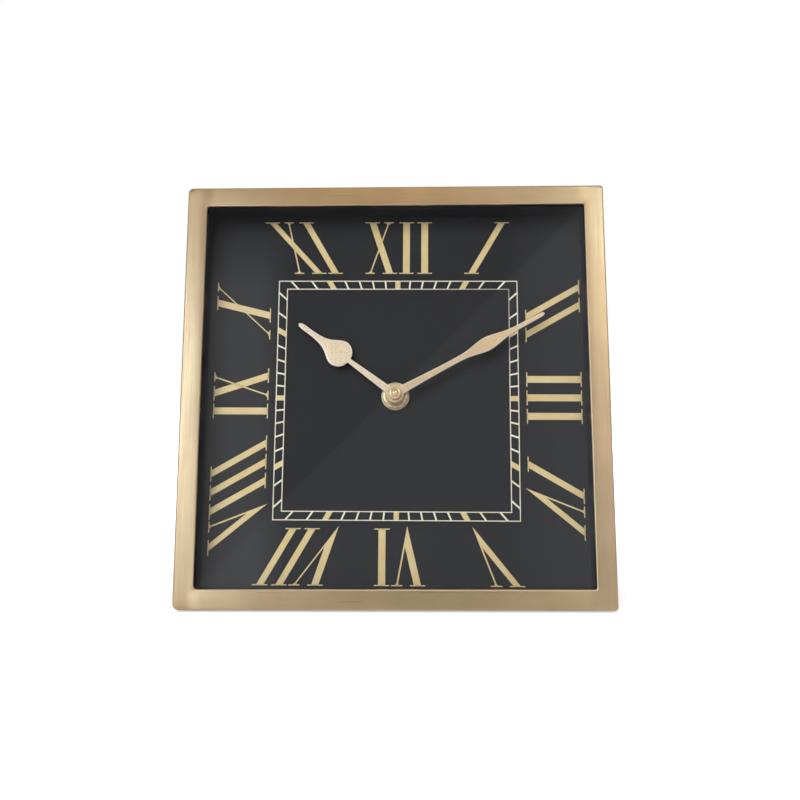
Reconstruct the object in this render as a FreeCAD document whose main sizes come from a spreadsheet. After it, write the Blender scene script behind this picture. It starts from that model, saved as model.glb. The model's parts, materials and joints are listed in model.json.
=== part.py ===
import FreeCAD, Part
import os
import Sketcher
from math import atan2, cos, pi, radians, sin
from FreeCAD import Placement, Rotation, Vector

# A square table clock whose face leans back on a wedge-shaped brass case.
# Millimetres. The face frame has its origin at the centre of the front plane,
# X to the right, Y into the clock and Z up along the face.

doc = FreeCAD.newDocument("Pendulette")
size = doc.addObject("Spreadsheet::Sheet", "size")

drivingSizes = (
    # case
    ("face_side", 200.0, "outer side of the square front"),
    ("bar_width", 9.3, "width of the front frame's bars"),
    ("lean_angle", 10.0, "degrees that the face leans back"),
    ("top_room", 14.81, "dial's board to the case's rear edge, at the top"),
    ("case_wall", 1.2, "sheet of the sides, top and base"),
    ("flange_thickness", 1.5, "thickness of the front frame"),
    ("corner_radius", 2.75, "outer corners of the case"),
    ("front_edge_round", 0.8, "round along the outer front edge"),
    ("opening_corner_radius", 1.5, "corners of the front opening"),
    ("opening_edge_round", 0.5, "round along the opening's edge"),
    ("cut_overrun", 4.0, "how far cuts run past what they cut"),
    # feet
    ("pad_radius", 5.0, "round foot pads"),
    ("pad_height", 1.0, "thickness of the foot pads"),
    ("pad_inset", 13.0, "pad centres from the base's edges"),
    # what lies behind the front frame
    ("gasket_thickness", 0.5, "black strip between frame and glass"),
    ("glass_thickness", 2.0, "front glass"),
    ("glass_overlap", 2.9, "glass hidden behind the frame"),
    ("spacer_depth", 13.0, "black inner walls, from glass to dial"),
    ("spacer_setback", 0.4, "inner walls stand back from the opening"),
    ("dial_thickness", 1.0, "dial sheet"),
    ("backing_thickness", 3.0, "board behind the dial"),
    ("backing_ear", 4.4, "board beyond the dial at the sides"),
    ("stud_radius", 1.25, "studs that hold the stack"),
    ("stud_edge", 2.9, "stud centres from the side walls"),
    ("stud_height", 68.0, "studs above and below the centre"),
    ("stud_tail", 1.4, "stud beyond its push nut"),
    ("stud_clearance", 0.15, "radial room round a stud"),
    ("push_nut_half", 2.5, "square push-on nuts, half their side"),
    ("push_nut_thickness", 0.8, "push-on nuts"),
    # rear cover
    ("cover_thickness", 1.5, "rear cover"),
    ("cover_inset", 2.2, "cover stands inside the rear edge"),
    ("cover_gap", 0.3, "room round the cover's edge"),
    ("access_width", 82.0, "opening for battery and setting knob"),
    ("access_height", 84.0, "opening for battery and setting knob"),
    ("access_corner", 8.0, "corners of that opening"),
    ("bracket_leg", 12.0, "legs of the cover's brackets, on the cover and in height"),
    ("bracket_gap", 0.3, "top brackets to the dial's board"),
    ("bracket_sheet", 1.2, "sheet of the brackets"),
    ("bracket_margin", 10.0, "screws from the cover's top and bottom"),
    ("screw_radius", 1.45, "cover screws"),
    ("screw_length", 6.5, "cover screws under the head"),
    ("screw_head_radius", 2.8, "cover screw heads"),
    ("screw_head_height", 1.6, "cover screw heads"),
    ("screw_clearance", 0.2, "radial room in the cover's holes"),
    ("thread_allowance", 0.02, "radial room where parts are pressed or screwed"),
    # movement housing
    ("movement_side", 56.0, "square housing"),
    ("movement_depth", 16.0, "housing, front to back"),
    ("movement_wall", 1.2, "housing walls"),
    ("movement_corner", 2.0, "housing corners"),
    ("bay_height", 14.6, "battery bay"),
    ("pivot_radius", 0.5, "pivots of the arbors"),
    ("pivot_depth", 0.7, "blind pivot holes"),
    ("arbor_radius", 0.6, "slim arbors"),
    ("running_clearance", 0.05, "radial room of a turning shaft"),
    ("shoulder_gap", 0.2, "end play of the arbors"),
    # wheels
    ("wheel_thickness", 1.2, "all wheels"),
    ("layer_gap", 0.6, "between the wheels' layers"),
    ("first_layer_gap", 0.4, "front wall to the first layer"),
    ("pinion_overlap", 0.1, "pinions reach past their wheels"),
    ("cannon_module", 0.48, "cannon pinion and motion wheel"),
    ("cannon_teeth", 10, "cannon pinion"),
    ("motion_wheel_teeth", 30, "motion wheel"),
    ("motion_pinion_teeth", 8, "motion wheel's pinion"),
    ("hour_wheel_teeth", 32, "hour wheel"),
    ("setting_teeth", 15, "setting pinion"),
    ("train_module", 0.4, "third wheel and the seconds wheel's pinion"),
    ("motor_module", 0.42, "seconds wheel to rotor"),
    ("seconds_pinion_teeth", 6, "seconds wheel's pinion"),
    ("third_wheel_teeth", 45, "third wheel"),
    ("third_pinion_teeth", 6, "third wheel's pinion"),
    ("centre_wheel_teeth", 48, "centre wheel"),
    ("seconds_wheel_teeth", 42, "seconds wheel"),
    ("intermediate_pinion_teeth", 7, "intermediate wheel's pinion"),
    ("intermediate_wheel_teeth", 30, "intermediate wheel"),
    ("rotor_pinion_teeth", 6, "rotor's pinion"),
    ("motion_bearing", 90.0, "degrees from +X, centre to motion wheel"),
    ("setting_bearing", 150.0, "degrees from +X, motion wheel to setting pinion"),
    ("third_bearing", 170.0, "degrees from +X, centre to third wheel"),
    ("intermediate_bearing", 10.0, "degrees from +X, centre to intermediate wheel"),
    ("rotor_bearing", 40.0, "degrees from +X, intermediate wheel to rotor"),
    # hands and their shafts
    ("minute_arbor_radius", 1.75, "minute arbor"),
    ("hour_tube_wall", 0.75, "wall of the hour wheel's tube"),
    ("bush_radius", 4.0, "threaded bush, outside"),
    ("bush_height", 4.0, "bush above the dial"),
    ("washer_radius", 6.75, "washer on the dial"),
    ("washer_thickness", 0.6, "washer on the dial"),
    ("nut_flats", 11.3, "hexagon nut across its flats"),
    ("nut_thickness", 2.6, "hexagon nut"),
    ("nut_edge", 0.4, "chamfer of the nut's corners"),
    ("hub_radius", 4.3, "round hubs of both hands"),
    ("hub_thickness", 1.1, "round hubs of both hands"),
    ("hub_edge", 0.25, "chamfer along the hubs' front edge"),
    ("blade_thickness", 0.8, "blades of both hands"),
    ("hour_hub_height", 4.4, "hour hand's hub above the dial"),
    ("hour_tube_height", 6.2, "hour tube's end above the dial"),
    ("minute_hub_height", 7.9, "minute hand's hub above the dial"),
    ("minute_arbor_height", 10.3, "minute arbor's end above the dial"),
    ("cap_radius", 3.0, "domed cap"),
    ("cap_top", 11.8, "top of the cap above the dial"),
    ("cap_crown", 1.3, "height of the cap's dome"),
    ("hour_length", 58.3, "hour hand, centre to tip"),
    ("hour_bearing", 306.9, "degrees clockwise from twelve"),
    ("hour_root_half", 1.85, "half width at the hub"),
    ("hour_stem_half", 1.35, "half width where the stem meets the pear"),
    ("pear_centre", 32.5, "centre to the pear's round end"),
    ("pear_radius", 6.6, "round end of the pear"),
    ("hour_neck", 45.0, "centre to where the pear has narrowed"),
    ("hour_neck_half", 1.55, "half width there"),
    ("hour_tip_half", 1.15, "half width of the tip"),
    ("minute_length", 81.3, "minute hand, centre to tip"),
    ("minute_bearing", 61.5, "degrees clockwise from twelve"),
    ("minute_root_half", 2.15, "half width at the hub"),
    ("minute_waist", 31.0, "centre to the slim part of the stem"),
    ("minute_waist_half", 1.5, "half width there"),
    ("minute_leaf", 49.4, "centre to the leaf's widest place"),
    ("minute_leaf_half", 3.35, "half width there"),
    ("minute_neck", 64.0, "centre to where the leaf has narrowed"),
    ("minute_neck_half", 1.15, "half width there"),
    ("minute_tip_half", 0.95, "half width of the tip"),
    # motor, circuit and battery
    ("magnet_radius", 3.0, "rotor's magnet"),
    ("magnet_height", 2.4, "rotor's magnet"),
    ("magnet_air_gap", 0.5, "magnet to stator"),
    ("stator_thickness", 1.0, "stator plate"),
    ("coil_height", 22.0, "coil's axis above the centre"),
    ("coil_left", 5.5, "coil's near end from the centre"),
    ("coil_length", 16.0, "coil between the stator's arms"),
    ("coil_radius", 3.3, "winding"),
    ("bobbin_radius", 3.7, "bobbin's flanges"),
    ("bobbin_sheet", 0.8, "bobbin's walls"),
    ("arm_width", 4.0, "stator's arms"),
    ("yoke_margin", 1.5, "stator beside the rotor's hole"),
    ("post_radius", 1.5, "moulded posts"),
    ("motion_stud_radius", 0.75, "moulded stud of the motion wheel"),
    ("board_width", 12.5, "circuit board"),
    ("board_height", 15.0, "circuit board"),
    ("board_thickness", 0.8, "circuit board"),
    ("board_level", 9.2, "board behind the movement's front"),
    ("crystal_radius", 1.0, "quartz can"),
    ("crystal_length", 6.0, "quartz can"),
    ("knob_radius", 7.0, "setting knob"),
    ("knob_height", 2.8, "setting knob"),
    ("knob_gap", 0.3, "knob above the housing"),
    ("knob_flute", 0.6, "depth of the grooves round the knob"),
    ("knob_flute_count", 24, "grooves round the knob"),
    ("setting_shaft_radius", 1.5, "shaft of the setting knob"),
    ("battery_radius", 7.0, "round cell"),
    ("battery_length", 49.2, "cell without its nub"),
    ("nub_radius", 2.75, "cell's nub"),
    ("nub_length", 1.3, "cell's nub"),
    ("battery_gap", 0.3, "cell to the bay's walls"),
    ("contact_sheet", 0.3, "spring contacts"),
    ("contact_height", 9.0, "spring contacts"),
    ("contact_gap", 0.1, "contact to cell at rest"),
)

for row, (name, number, note) in enumerate(drivingSizes, 1):
    size.set("A%d" % row, note)
    size.set("B%d" % row, str(number))
    size.setAlias("B%d" % row, name)
doc.recompute()

# Shares of a tooth's module, the same for every wheel.
toothAddendumShare = 0.75
toothDedendumShare = 1.05
toothRootWidthShare = 1.5
toothTipWidthShare = 0.5

# Derived sizes, each written once as an expression on the sheet.
faceHalf = "(size.face_side / 2)"
openingHalf = "(size.face_side / 2 - size.bar_width)"
glassHalf = "(size.face_side / 2 - size.bar_width + size.glass_overlap)"
spacerHalf = "(size.face_side / 2 - size.bar_width + size.spacer_setback)"
glassDepth = "(size.flange_thickness + size.gasket_thickness)"
spacerStart = "(" + glassDepth + " + size.glass_thickness)"
dialDepth = "(" + spacerStart + " + size.spacer_depth)"
backingDepth = "(" + dialDepth + " + size.dial_thickness)"
movementDepth = "(" + backingDepth + " + size.backing_thickness)"
topRearDepth = "(" + movementDepth + " + size.top_room)"
baseDepth = (
    "(" + topRearDepth + " * cos(size.lean_angle) + size.face_side * sin(size.lean_angle))")
baseRearDepth = "(" + baseDepth + " * cos(size.lean_angle))"
baseRearHeight = "(" + baseDepth + " * sin(size.lean_angle) - size.face_side / 2)"
wallSlant = "(size.case_wall / cos(size.lean_angle))"
studX = "(size.face_side / 2 - size.case_wall - size.stud_edge)"
cannonReach = "(size.cannon_module * (size.cannon_teeth + size.motion_wheel_teeth) / 2)"
settingReach = "(size.cannon_module * (size.setting_teeth + size.motion_wheel_teeth) / 2)"
hourModule = "(2 * " + cannonReach + " / (size.motion_pinion_teeth + size.hour_wheel_teeth))"
thirdReach = "(size.train_module * (size.seconds_pinion_teeth + size.third_wheel_teeth) / 2)"
centreModule = "(2 * " + thirdReach + " / (size.third_pinion_teeth + size.centre_wheel_teeth))"
intermediateReach = (
    "(size.motor_module * (size.seconds_wheel_teeth + size.intermediate_pinion_teeth) / 2)")
rotorReach = (
    "(size.motor_module * (size.intermediate_wheel_teeth + size.rotor_pinion_teeth) / 2)")
partitionTop = "(size.bay_height + 2 * size.movement_wall - size.movement_side / 2)"
innerHalf = "(size.movement_side / 2 - size.movement_wall)"
statorLevel = (
    "(size.movement_wall + size.first_layer_gap + 3 * size.wheel_thickness"
    " + 2 * size.layer_gap + size.shoulder_gap)")


def value(expression):
    """The number that an expression on the sheet gives now."""
    return float(reader.evalExpression(expression))


def polar(reach, bearing):
    """Two expressions for the point at a reach and a bearing from the centre."""
    return reach + " * cos(" + bearing + ")", reach + " * sin(" + bearing + ")"


def offset(start, step):
    """Two expressions for a point that is one step beyond another."""
    return start[0] + " + " + step[0], start[1] + " + " + step[1]


def layer(index):
    """Depth of a wheel layer's front, behind the movement's front face."""
    step = size.wheel_thickness + size.layer_gap
    return size.movement_wall + size.first_layer_gap + index * step


reader = doc.addObject("App::FeaturePython", "expressionReader")
motionAxis = polar(cannonReach, "size.motion_bearing")
settingAxis = offset(motionAxis, polar(settingReach, "size.setting_bearing"))
thirdAxis = polar(thirdReach, "size.third_bearing")
intermediateAxis = polar(intermediateReach, "size.intermediate_bearing")
rotorAxis = offset(intermediateAxis, polar(rotorReach, "size.rotor_bearing"))


def facePlacement(x=0.0, depth=0.0, height=0.0):
    """Where a piece drawn in the face frame stands on the table."""
    lean = Rotation(Vector(1, 0, 0), -size.lean_angle)
    foot = Vector(0, -value(baseDepth) / 2, size.pad_height)
    centre = foot + lean.multVec(Vector(0, 0, size.face_side / 2))
    return Placement(centre, lean).multiply(Placement(Vector(x, depth, height), Rotation()))


def uprightPlacement(x=0.0, depth=0.0, height=0.0):
    """Where a piece drawn upright stands, from the base's front edge."""
    return Placement(Vector(x, depth - value(baseDepth) / 2, height + size.pad_height), Rotation())


def movementPlacement(x="0", height="0", level=0.0):
    """A place in the movement, from the arbor's axis on its front face."""
    return facePlacement(value(x), value(movementDepth) + level, value(height))


def dialPlacement(lift):
    """A place on the arbor's axis, lifted off the dial towards the glass."""
    return facePlacement(0.0, value(dialDepth) - lift, 0.0)


subParts = []


def keep(piece, label, placement):
    piece.Label = label
    piece.Placement = placement
    subParts.append(piece)
    return piece


# Helpers for bodies: sketches whose points are bound to the sheet.

def newSketch(body, role, name, setback=None):
    sketch = body.newObject("Sketcher::SketchObject", name)
    plane = [feature for feature in body.Origin.OriginFeatures if feature.Role == role][0]
    sketch.AttachmentSupport = [(plane, "")]
    sketch.MapMode = "FlatFace"
    if setback:
        sketch.setExpression("AttachmentOffset.Base.z", "-" + setback)
    return sketch


def bindPoint(sketch, geometry, point, x, y):
    for kind, expression in (("DistanceX", x), ("DistanceY", y)):
        constraint = Sketcher.Constraint(kind, -1, 1, geometry, point, value(expression))
        index = sketch.addConstraint(constraint)
        sketch.setExpression("Constraints[%d]" % index, expression)


def addOutline(sketch, corners):
    """A closed outline of straight edges through corners given as expressions."""
    points = [Vector(value(x), value(y), 0) for x, y in corners]
    first = sketch.GeometryCount
    count = len(corners)
    for index in range(count):
        sketch.addGeometry(Part.LineSegment(points[index], points[(index + 1) % count]))
    for index in range(count):
        following = first + (index + 1) % count
        sketch.addConstraint(Sketcher.Constraint("Coincident", first + index, 2, following, 1))
    for index, (x, y) in enumerate(corners):
        bindPoint(sketch, first + index, 1, x, y)


def addRectangle(sketch, low, high):
    addOutline(sketch, (low, (high[0], low[1]), high, (low[0], high[1])))


def addSquare(sketch, half):
    addRectangle(sketch, ("-" + half, "-" + half), (half, half))


def addCircle(sketch, x, y, radius):
    centre = Vector(value(x), value(y), 0)
    index = sketch.addGeometry(Part.Circle(centre, Vector(0, 0, 1), value(radius)))
    constraint = sketch.addConstraint(Sketcher.Constraint("Radius", index, value(radius)))
    sketch.setExpression("Constraints[%d]" % constraint, radius)
    bindPoint(sketch, index, 3, x, y)


def addPad(body, sketch, length, midplane=False):
    """A pad that grows into the clock, or both ways from the sketch."""
    pad = body.newObject("PartDesign::Pad", sketch.Name + "Pad")
    pad.Profile = sketch
    pad.setExpression("Length", length)
    pad.Midplane = midplane
    pad.Reversed = not midplane
    return pad


def addPocket(body, sketch, length, midplane=False):
    """A pocket that cuts into the clock, or both ways from the sketch."""
    pocket = body.newObject("PartDesign::Pocket", sketch.Name + "Pocket")
    pocket.Profile = sketch
    pocket.setExpression("Length", length)
    pocket.Midplane = midplane
    return pocket


def roundEdges(body, name, radius, wanted):
    """A fillet on the edges of the body's tip that a test picks."""
    doc.recompute()
    base = body.Tip
    edges = base.Shape.Edges
    names = ["Edge%d" % (index + 1) for index, edge in enumerate(edges) if wanted(edge)]
    fillet = body.newObject("PartDesign::Fillet", name)
    fillet.Base = (base, names)
    fillet.setExpression("Radius", radius)
    return fillet


def alongY(edge):
    """Whether a straight edge runs front to back."""
    start, end = edge.Vertexes[0].Point, edge.Vertexes[-1].Point
    run = end - start
    return run.Length > 0 and abs(run.y) > 0.8 * run.Length


def turnedBody(label, profile, placement):
    """A body turned about the Y axis from corners given as depth and radius."""
    body = doc.addObject("PartDesign::Body", label)
    sketch = newSketch(body, "YZ_Plane", label + "Profile")
    addOutline(sketch, profile)
    turn = body.newObject("PartDesign::Revolution", label + "Turn")
    turn.Profile = sketch
    turn.ReferenceAxis = (sketch, ["H_Axis"])
    turn.Angle = 360.0
    return keep(body, label, placement)


def plateBody(label, half, thickness, placement, hole=None):
    """A square sheet with a round hole on its axis where one is given."""
    body = doc.addObject("PartDesign::Body", label)
    sketch = newSketch(body, "XZ_Plane", label + "Outline")
    addSquare(sketch, half)
    if hole:
        addCircle(sketch, "0", "0", hole)
    addPad(body, sketch, thickness)
    return keep(body, label, placement)


def featurePiece(label, shape, placement):
    """A piece whose shape is worked out here, from sizes on the sheet."""
    piece = doc.addObject("Part::Feature", label)
    piece.Shape = shape
    return keep(piece, label, placement)


# Helpers for shapes that are worked out here. All of them run along +Y.

def disc(radius, start, end, x=0.0, z=0.0):
    return Part.makeCylinder(radius, end - start, Vector(x, start, z), Vector(0, 1, 0))


def block(x, y, z):
    """A box from three pairs of limits."""
    corner = Vector(x[0], y[0], z[0])
    return Part.makeBox(x[1] - x[0], y[1] - y[0], z[1] - z[0], corner)


def prism(points, start, end):
    """A flat outline in X and Z, carried from one depth to another."""
    corners = [Vector(x, start, z) for x, z in points]
    face = Part.Face(Part.makePolygon(corners + corners[:1]))
    return face.extrude(Vector(0, end - start, 0))


def toothedDisc(teeth, module, start, end, phase):
    """A spur wheel with straight-flanked teeth, the first at the phase angle."""
    teeth = int(teeth)
    pitchRadius = teeth * module / 2
    tipRadius = pitchRadius + toothAddendumShare * module
    rootRadius = pitchRadius - toothDedendumShare * module
    rootHalfAngle = toothRootWidthShare * module / 2 / rootRadius
    tipHalfAngle = toothTipWidthShare * module / 2 / tipRadius
    points = []
    for tooth in range(teeth):
        middle = phase + tooth * 2 * pi / teeth
        for radius, turn in ((rootRadius, -rootHalfAngle), (tipRadius, -tipHalfAngle),
                             (tipRadius, tipHalfAngle), (rootRadius, rootHalfAngle)):
            points.append((radius * cos(middle + turn), radius * sin(middle + turn)))
    return prism(points, start, end)


def meshedPhase(teeth, followedTeeth, followedPhase, bearing):
    """First tooth's angle that meshes a wheel with one lying back along the bearing.

    The bearing runs from the followed wheel's axis to this wheel's axis.
    """
    followedOffset = (followedPhase - bearing) * followedTeeth / (2 * pi)
    return bearing + pi + (0.5 - followedOffset) * 2 * pi / teeth


def bearingBetween(start, end):
    """Angle from +X of the line between two axes given as expressions."""
    return atan2(value(end[1]) - value(start[1]), value(end[0]) - value(start[0]))


def bored(shape, radius, start, end):
    """A shape with a hole along its axis."""
    return shape.cut(disc(radius, start - size.cut_overrun, end + size.cut_overrun))


def pivoted(shape, front, rear, frontPivot, rearPivot, radius):
    """A wheel with its arbor and a slim pivot at each end."""
    arbor = disc(radius, front, rear)
    pivots = disc(size.pivot_radius, frontPivot, rearPivot)
    return shape.fuse([arbor, pivots]).removeSplitter()


# The case, with the front frame in one piece.

def makeCase():
    body = doc.addObject("PartDesign::Body", "case_shell")
    side = newSketch(body, "YZ_Plane", "sideOutline")
    addOutline(side, (
        ("0", "-" + faceHalf),
        ("0", faceHalf),
        (topRearDepth, faceHalf),
        (baseRearDepth, baseRearHeight),
    ))
    addPad(body, side, "size.face_side", midplane=True)
    roundEdges(body, "cornerRound", "size.corner_radius", alongY)

    hollow = newSketch(body, "YZ_Plane", "hollowOutline")
    slope = "tan(size.lean_angle)"
    farDepth = "(" + baseRearDepth + " + size.cut_overrun)"
    addOutline(hollow, (
        ("size.flange_thickness",
         "size.flange_thickness * " + slope + " + " + wallSlant + " - " + faceHalf),
        ("size.flange_thickness", faceHalf + " - size.case_wall"),
        (topRearDepth + " + size.cut_overrun", faceHalf + " - size.case_wall"),
        (farDepth, farDepth + " * " + slope + " + " + wallSlant + " - " + faceHalf),
    ))
    addPocket(body, hollow, "size.face_side - 2 * size.case_wall", midplane=True)

    opening = newSketch(body, "XZ_Plane", "frontOpening", "(-size.cut_overrun)")
    addSquare(opening, openingHalf)
    addPocket(body, opening, "size.flange_thickness + size.cut_overrun + size.case_wall / 2")
    half = value(openingHalf)

    def openingCorner(edge):
        middle = edge.CenterOfMass
        onCorner = abs(abs(middle.x) - half) < size.case_wall / 4
        return alongY(edge) and onCorner and abs(abs(middle.z) - half) < size.case_wall / 4

    roundEdges(body, "openingCornerRound", "size.opening_corner_radius", openingCorner)
    inFront = size.flange_thickness / 4

    def onFront(edge):
        return edge.BoundBox.YMax < inFront

    def outerFront(edge):
        return onFront(edge) and max(abs(edge.CenterOfMass.x), abs(edge.CenterOfMass.z)) > \
            (half + size.face_side / 2) / 2

    def innerFront(edge):
        return onFront(edge) and not outerFront(edge)

    roundEdges(body, "frontEdgeRound", "size.front_edge_round", outerFront)
    roundEdges(body, "openingEdgeRound", "size.opening_edge_round", innerFront)
    keep(body, "case_shell", facePlacement())


def makeFootPads():
    low = size.pad_inset
    high = value(baseDepth) - size.pad_inset
    across = size.face_side / 2 - size.pad_inset
    pads = [Part.makeCylinder(size.pad_radius, size.pad_height, Vector(x, y, -size.pad_height))
            for x in (-across, across) for y in (low, high)]
    featurePiece("foot_pads", Part.makeCompound(pads), uprightPlacement())


# What lies behind the front frame, from the glass to the board.

def makeFrontStack():
    ring = doc.addObject("PartDesign::Body", "glass_gasket")
    sketch = newSketch(ring, "XZ_Plane", "gasketOutline")
    addSquare(sketch, glassHalf)
    addSquare(sketch, spacerHalf)
    addPad(ring, sketch, "size.gasket_thickness")
    keep(ring, "glass_gasket", facePlacement(0.0, size.flange_thickness))

    plateBody("front_glass", glassHalf, "size.glass_thickness",
              facePlacement(0.0, value(glassDepth)))

    walls = doc.addObject("PartDesign::Body", "dial_spacer")
    sketch = newSketch(walls, "XZ_Plane", "spacerOutline")
    addSquare(sketch, glassHalf)
    addSquare(sketch, spacerHalf)
    addPad(walls, sketch, "size.spacer_depth")
    keep(walls, "dial_spacer", facePlacement(0.0, value(spacerStart)))

    bushHole = "size.bush_radius + size.stud_clearance"
    plateBody("dial_plate", glassHalf, "size.dial_thickness",
              facePlacement(0.0, value(dialDepth)), bushHole)

    board = doc.addObject("PartDesign::Body", "dial_backing")
    sketch = newSketch(board, "XZ_Plane", "boardOutline")
    boardHalf = "(" + glassHalf + " + size.backing_ear)"
    addRectangle(sketch, ("-" + boardHalf, "-" + glassHalf), (boardHalf, glassHalf))
    addCircle(sketch, "0", "0", bushHole)
    for across in ("", "-"):
        for up in ("", "-"):
            addCircle(sketch, across + studX, up + "size.stud_height",
                      "size.stud_radius + size.stud_clearance")
    addPad(board, sketch, "size.backing_thickness")
    keep(board, "dial_backing", facePlacement(0.0, value(backingDepth)))


def makeStackFasteners():
    places = [(across * value(studX), up * size.stud_height) for across in (-1, 1) for up in (-1, 1)]
    nutStart = value(movementDepth)
    nutEnd = nutStart + size.push_nut_thickness
    studs = [disc(size.stud_radius, size.flange_thickness, nutEnd + size.stud_tail, x, z)
             for x, z in places]
    featurePiece("retaining_studs", Part.makeCompound(studs), facePlacement())
    half = size.push_nut_half
    nuts = []
    for x, z in places:
        nut = block((x - half, x + half), (nutStart, nutEnd), (z - half, z + half))
        hole = disc(size.stud_radius + size.thread_allowance, nutStart, nutEnd, x, z)
        nuts.append(nut.cut(hole))
    featurePiece("push_nuts", Part.makeCompound(nuts), facePlacement())


# The rear cover with its brackets and screws, drawn upright.

coverHalf = "(size.face_side / 2 - size.case_wall - size.cover_gap)"
coverBottom = "(size.case_wall + size.cover_gap)"
coverTop = (
    "(size.face_side / cos(size.lean_angle) - " + baseDepth + " * tan(size.lean_angle) - "
    + wallSlant + " - size.cover_gap)")
coverFront = "(" + baseDepth + " - size.cover_inset - size.cover_thickness)"
accessMiddle = (
    "(size.face_side / 2 * cos(size.lean_angle) - (" + movementDepth
    + " + size.movement_depth) * sin(size.lean_angle))")
screwX = "(" + coverHalf + " - size.bracket_leg / 2)"
screwLow = "(" + coverBottom + " + size.bracket_margin)"
screwHigh = "(" + coverTop + " - size.bracket_margin)"
bracketTop = "(" + screwHigh + " + size.bracket_leg / 2)"
bracketDepth = (
    "(" + coverFront + " - " + movementDepth + " / cos(size.lean_angle) - " + bracketTop
    + " * tan(size.lean_angle) - size.bracket_gap)")


def makeRearCover():
    body = doc.addObject("PartDesign::Body", "rear_cover")
    sketch = newSketch(body, "XZ_Plane", "coverOutline")
    addRectangle(sketch, ("-" + coverHalf, coverBottom), (coverHalf, coverTop))
    accessHalf = "size.access_width / 2"
    addRectangle(sketch,
                 ("-" + accessHalf, accessMiddle + " - size.access_height / 2"),
                 (accessHalf, accessMiddle + " + size.access_height / 2"))
    for across in ("", "-"):
        for height in (screwLow, screwHigh):
            addCircle(sketch, across + screwX, height, "size.screw_radius + size.screw_clearance")
    addPad(body, sketch, "size.cover_thickness")

    def accessCorner(edge):
        onSide = abs(abs(edge.CenterOfMass.x) - size.access_width / 2) < size.cover_gap
        return alongY(edge) and onSide and len(edge.Vertexes) == 2

    roundEdges(body, "accessCornerRound", "size.access_corner", accessCorner)
    keep(body, "rear_cover", uprightPlacement(0.0, value(coverFront)))


def makeCoverFasteners():
    cover = value(coverFront)
    depth = value(bracketDepth)
    leg = size.bracket_leg
    wall = size.face_side / 2 - size.case_wall
    shaft = size.screw_radius + size.thread_allowance
    brackets = []
    screws = []
    for across in (-1, 1):
        for height in (value(screwLow), value(screwHigh)):
            z = (height - leg / 2, height + leg / 2)
            onWall = sorted((across * wall, across * (wall - size.bracket_sheet)))
            onCover = sorted((across * wall, across * (wall - leg)))
            bracket = block(onWall, (cover - depth, cover), z)
            bracket = bracket.fuse(block(onCover, (cover - size.bracket_sheet, cover), z))
            x = across * value(screwX)
            hole = disc(shaft, cover - size.bracket_sheet, cover, x, height)
            brackets.append(bracket.cut(hole).removeSplitter())
            headStart = cover + size.cover_thickness
            screw = disc(size.screw_radius, headStart - size.screw_length, headStart, x, height)
            head = disc(size.screw_head_radius, headStart, headStart + size.screw_head_height,
                        x, height)
            screws.append(screw.fuse(head))
    featurePiece("cover_brackets", Part.makeCompound(brackets), uprightPlacement())
    featurePiece("cover_screws", Part.makeCompound(screws), uprightPlacement())


# The movement's housing: a moulded body with the battery bay, and its cover.

boardLeft = "(-" + innerHalf + " + size.battery_gap)"
boardBottom = "(" + innerHalf + " - size.battery_gap - size.board_height - size.wheel_thickness / 2)"
boardPost = (boardLeft + " + size.board_width / 2", boardBottom + " + size.board_height / 2")
armLeftPost = ("size.coil_left - size.arm_width / 2", "size.coil_height")
armRightPost = ("size.coil_left + size.coil_length + size.arm_width / 2", rotorAxis[1])
pivotAxes = (thirdAxis, intermediateAxis, rotorAxis)
coverLevel = "(size.movement_depth - size.movement_wall)"


def makeMovementBody():
    body = doc.addObject("PartDesign::Body", "movement_body")
    outline = newSketch(body, "XZ_Plane", "housingOutline")
    addSquare(outline, "(size.movement_side / 2)")
    addPad(body, outline, "size.movement_depth")
    roundEdges(body, "housingCorner", "size.movement_corner", alongY)

    cavity = newSketch(body, "XZ_Plane", "trainCavity", "size.movement_wall")
    addRectangle(cavity, ("-" + innerHalf, partitionTop), (innerHalf, innerHalf))
    addPocket(body, cavity, "size.movement_depth")

    bay = newSketch(body, "XZ_Plane", "batteryBay", "size.movement_wall")
    addRectangle(bay, ("-" + innerHalf, "-" + innerHalf),
                 (innerHalf, "size.bay_height - " + innerHalf))
    addPocket(body, bay, "size.movement_depth")

    rebate = newSketch(body, "XZ_Plane", "coverRebate", coverLevel)
    edge = "(size.movement_side / 2 + size.cut_overrun)"
    addRectangle(rebate, ("-" + edge, "size.bay_height - " + innerHalf), (edge, edge))
    addPocket(body, rebate, "size.movement_depth")

    for name, axis, radius, height in (
        ("motionStud", motionAxis, "size.motion_stud_radius",
         "size.first_layer_gap + 2 * size.wheel_thickness + size.layer_gap + size.shoulder_gap"),
        ("leftPost", armLeftPost, "size.post_radius", statorLevel + " - size.movement_wall"),
        ("rightPost", armRightPost, "size.post_radius", statorLevel + " - size.movement_wall"),
        ("boardPost", boardPost, "size.post_radius", "size.board_level - size.movement_wall"),
    ):
        post = newSketch(body, "XZ_Plane", name, "size.movement_wall")
        addCircle(post, axis[0], axis[1], radius)
        addPad(body, post, height)

    through = newSketch(body, "XZ_Plane", "bushHole")
    addCircle(through, "0", "0", "size.bush_radius + size.thread_allowance")
    addPocket(body, through, "size.movement_wall")

    pivots = newSketch(body, "XZ_Plane", "frontPivotHoles",
                       "(size.movement_wall - size.pivot_depth)")
    for axis in pivotAxes + (settingAxis,):
        addCircle(pivots, axis[0], axis[1], "size.pivot_radius + size.running_clearance")
    addPocket(body, pivots, "size.pivot_depth")
    keep(body, "movement_body", movementPlacement())


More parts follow.
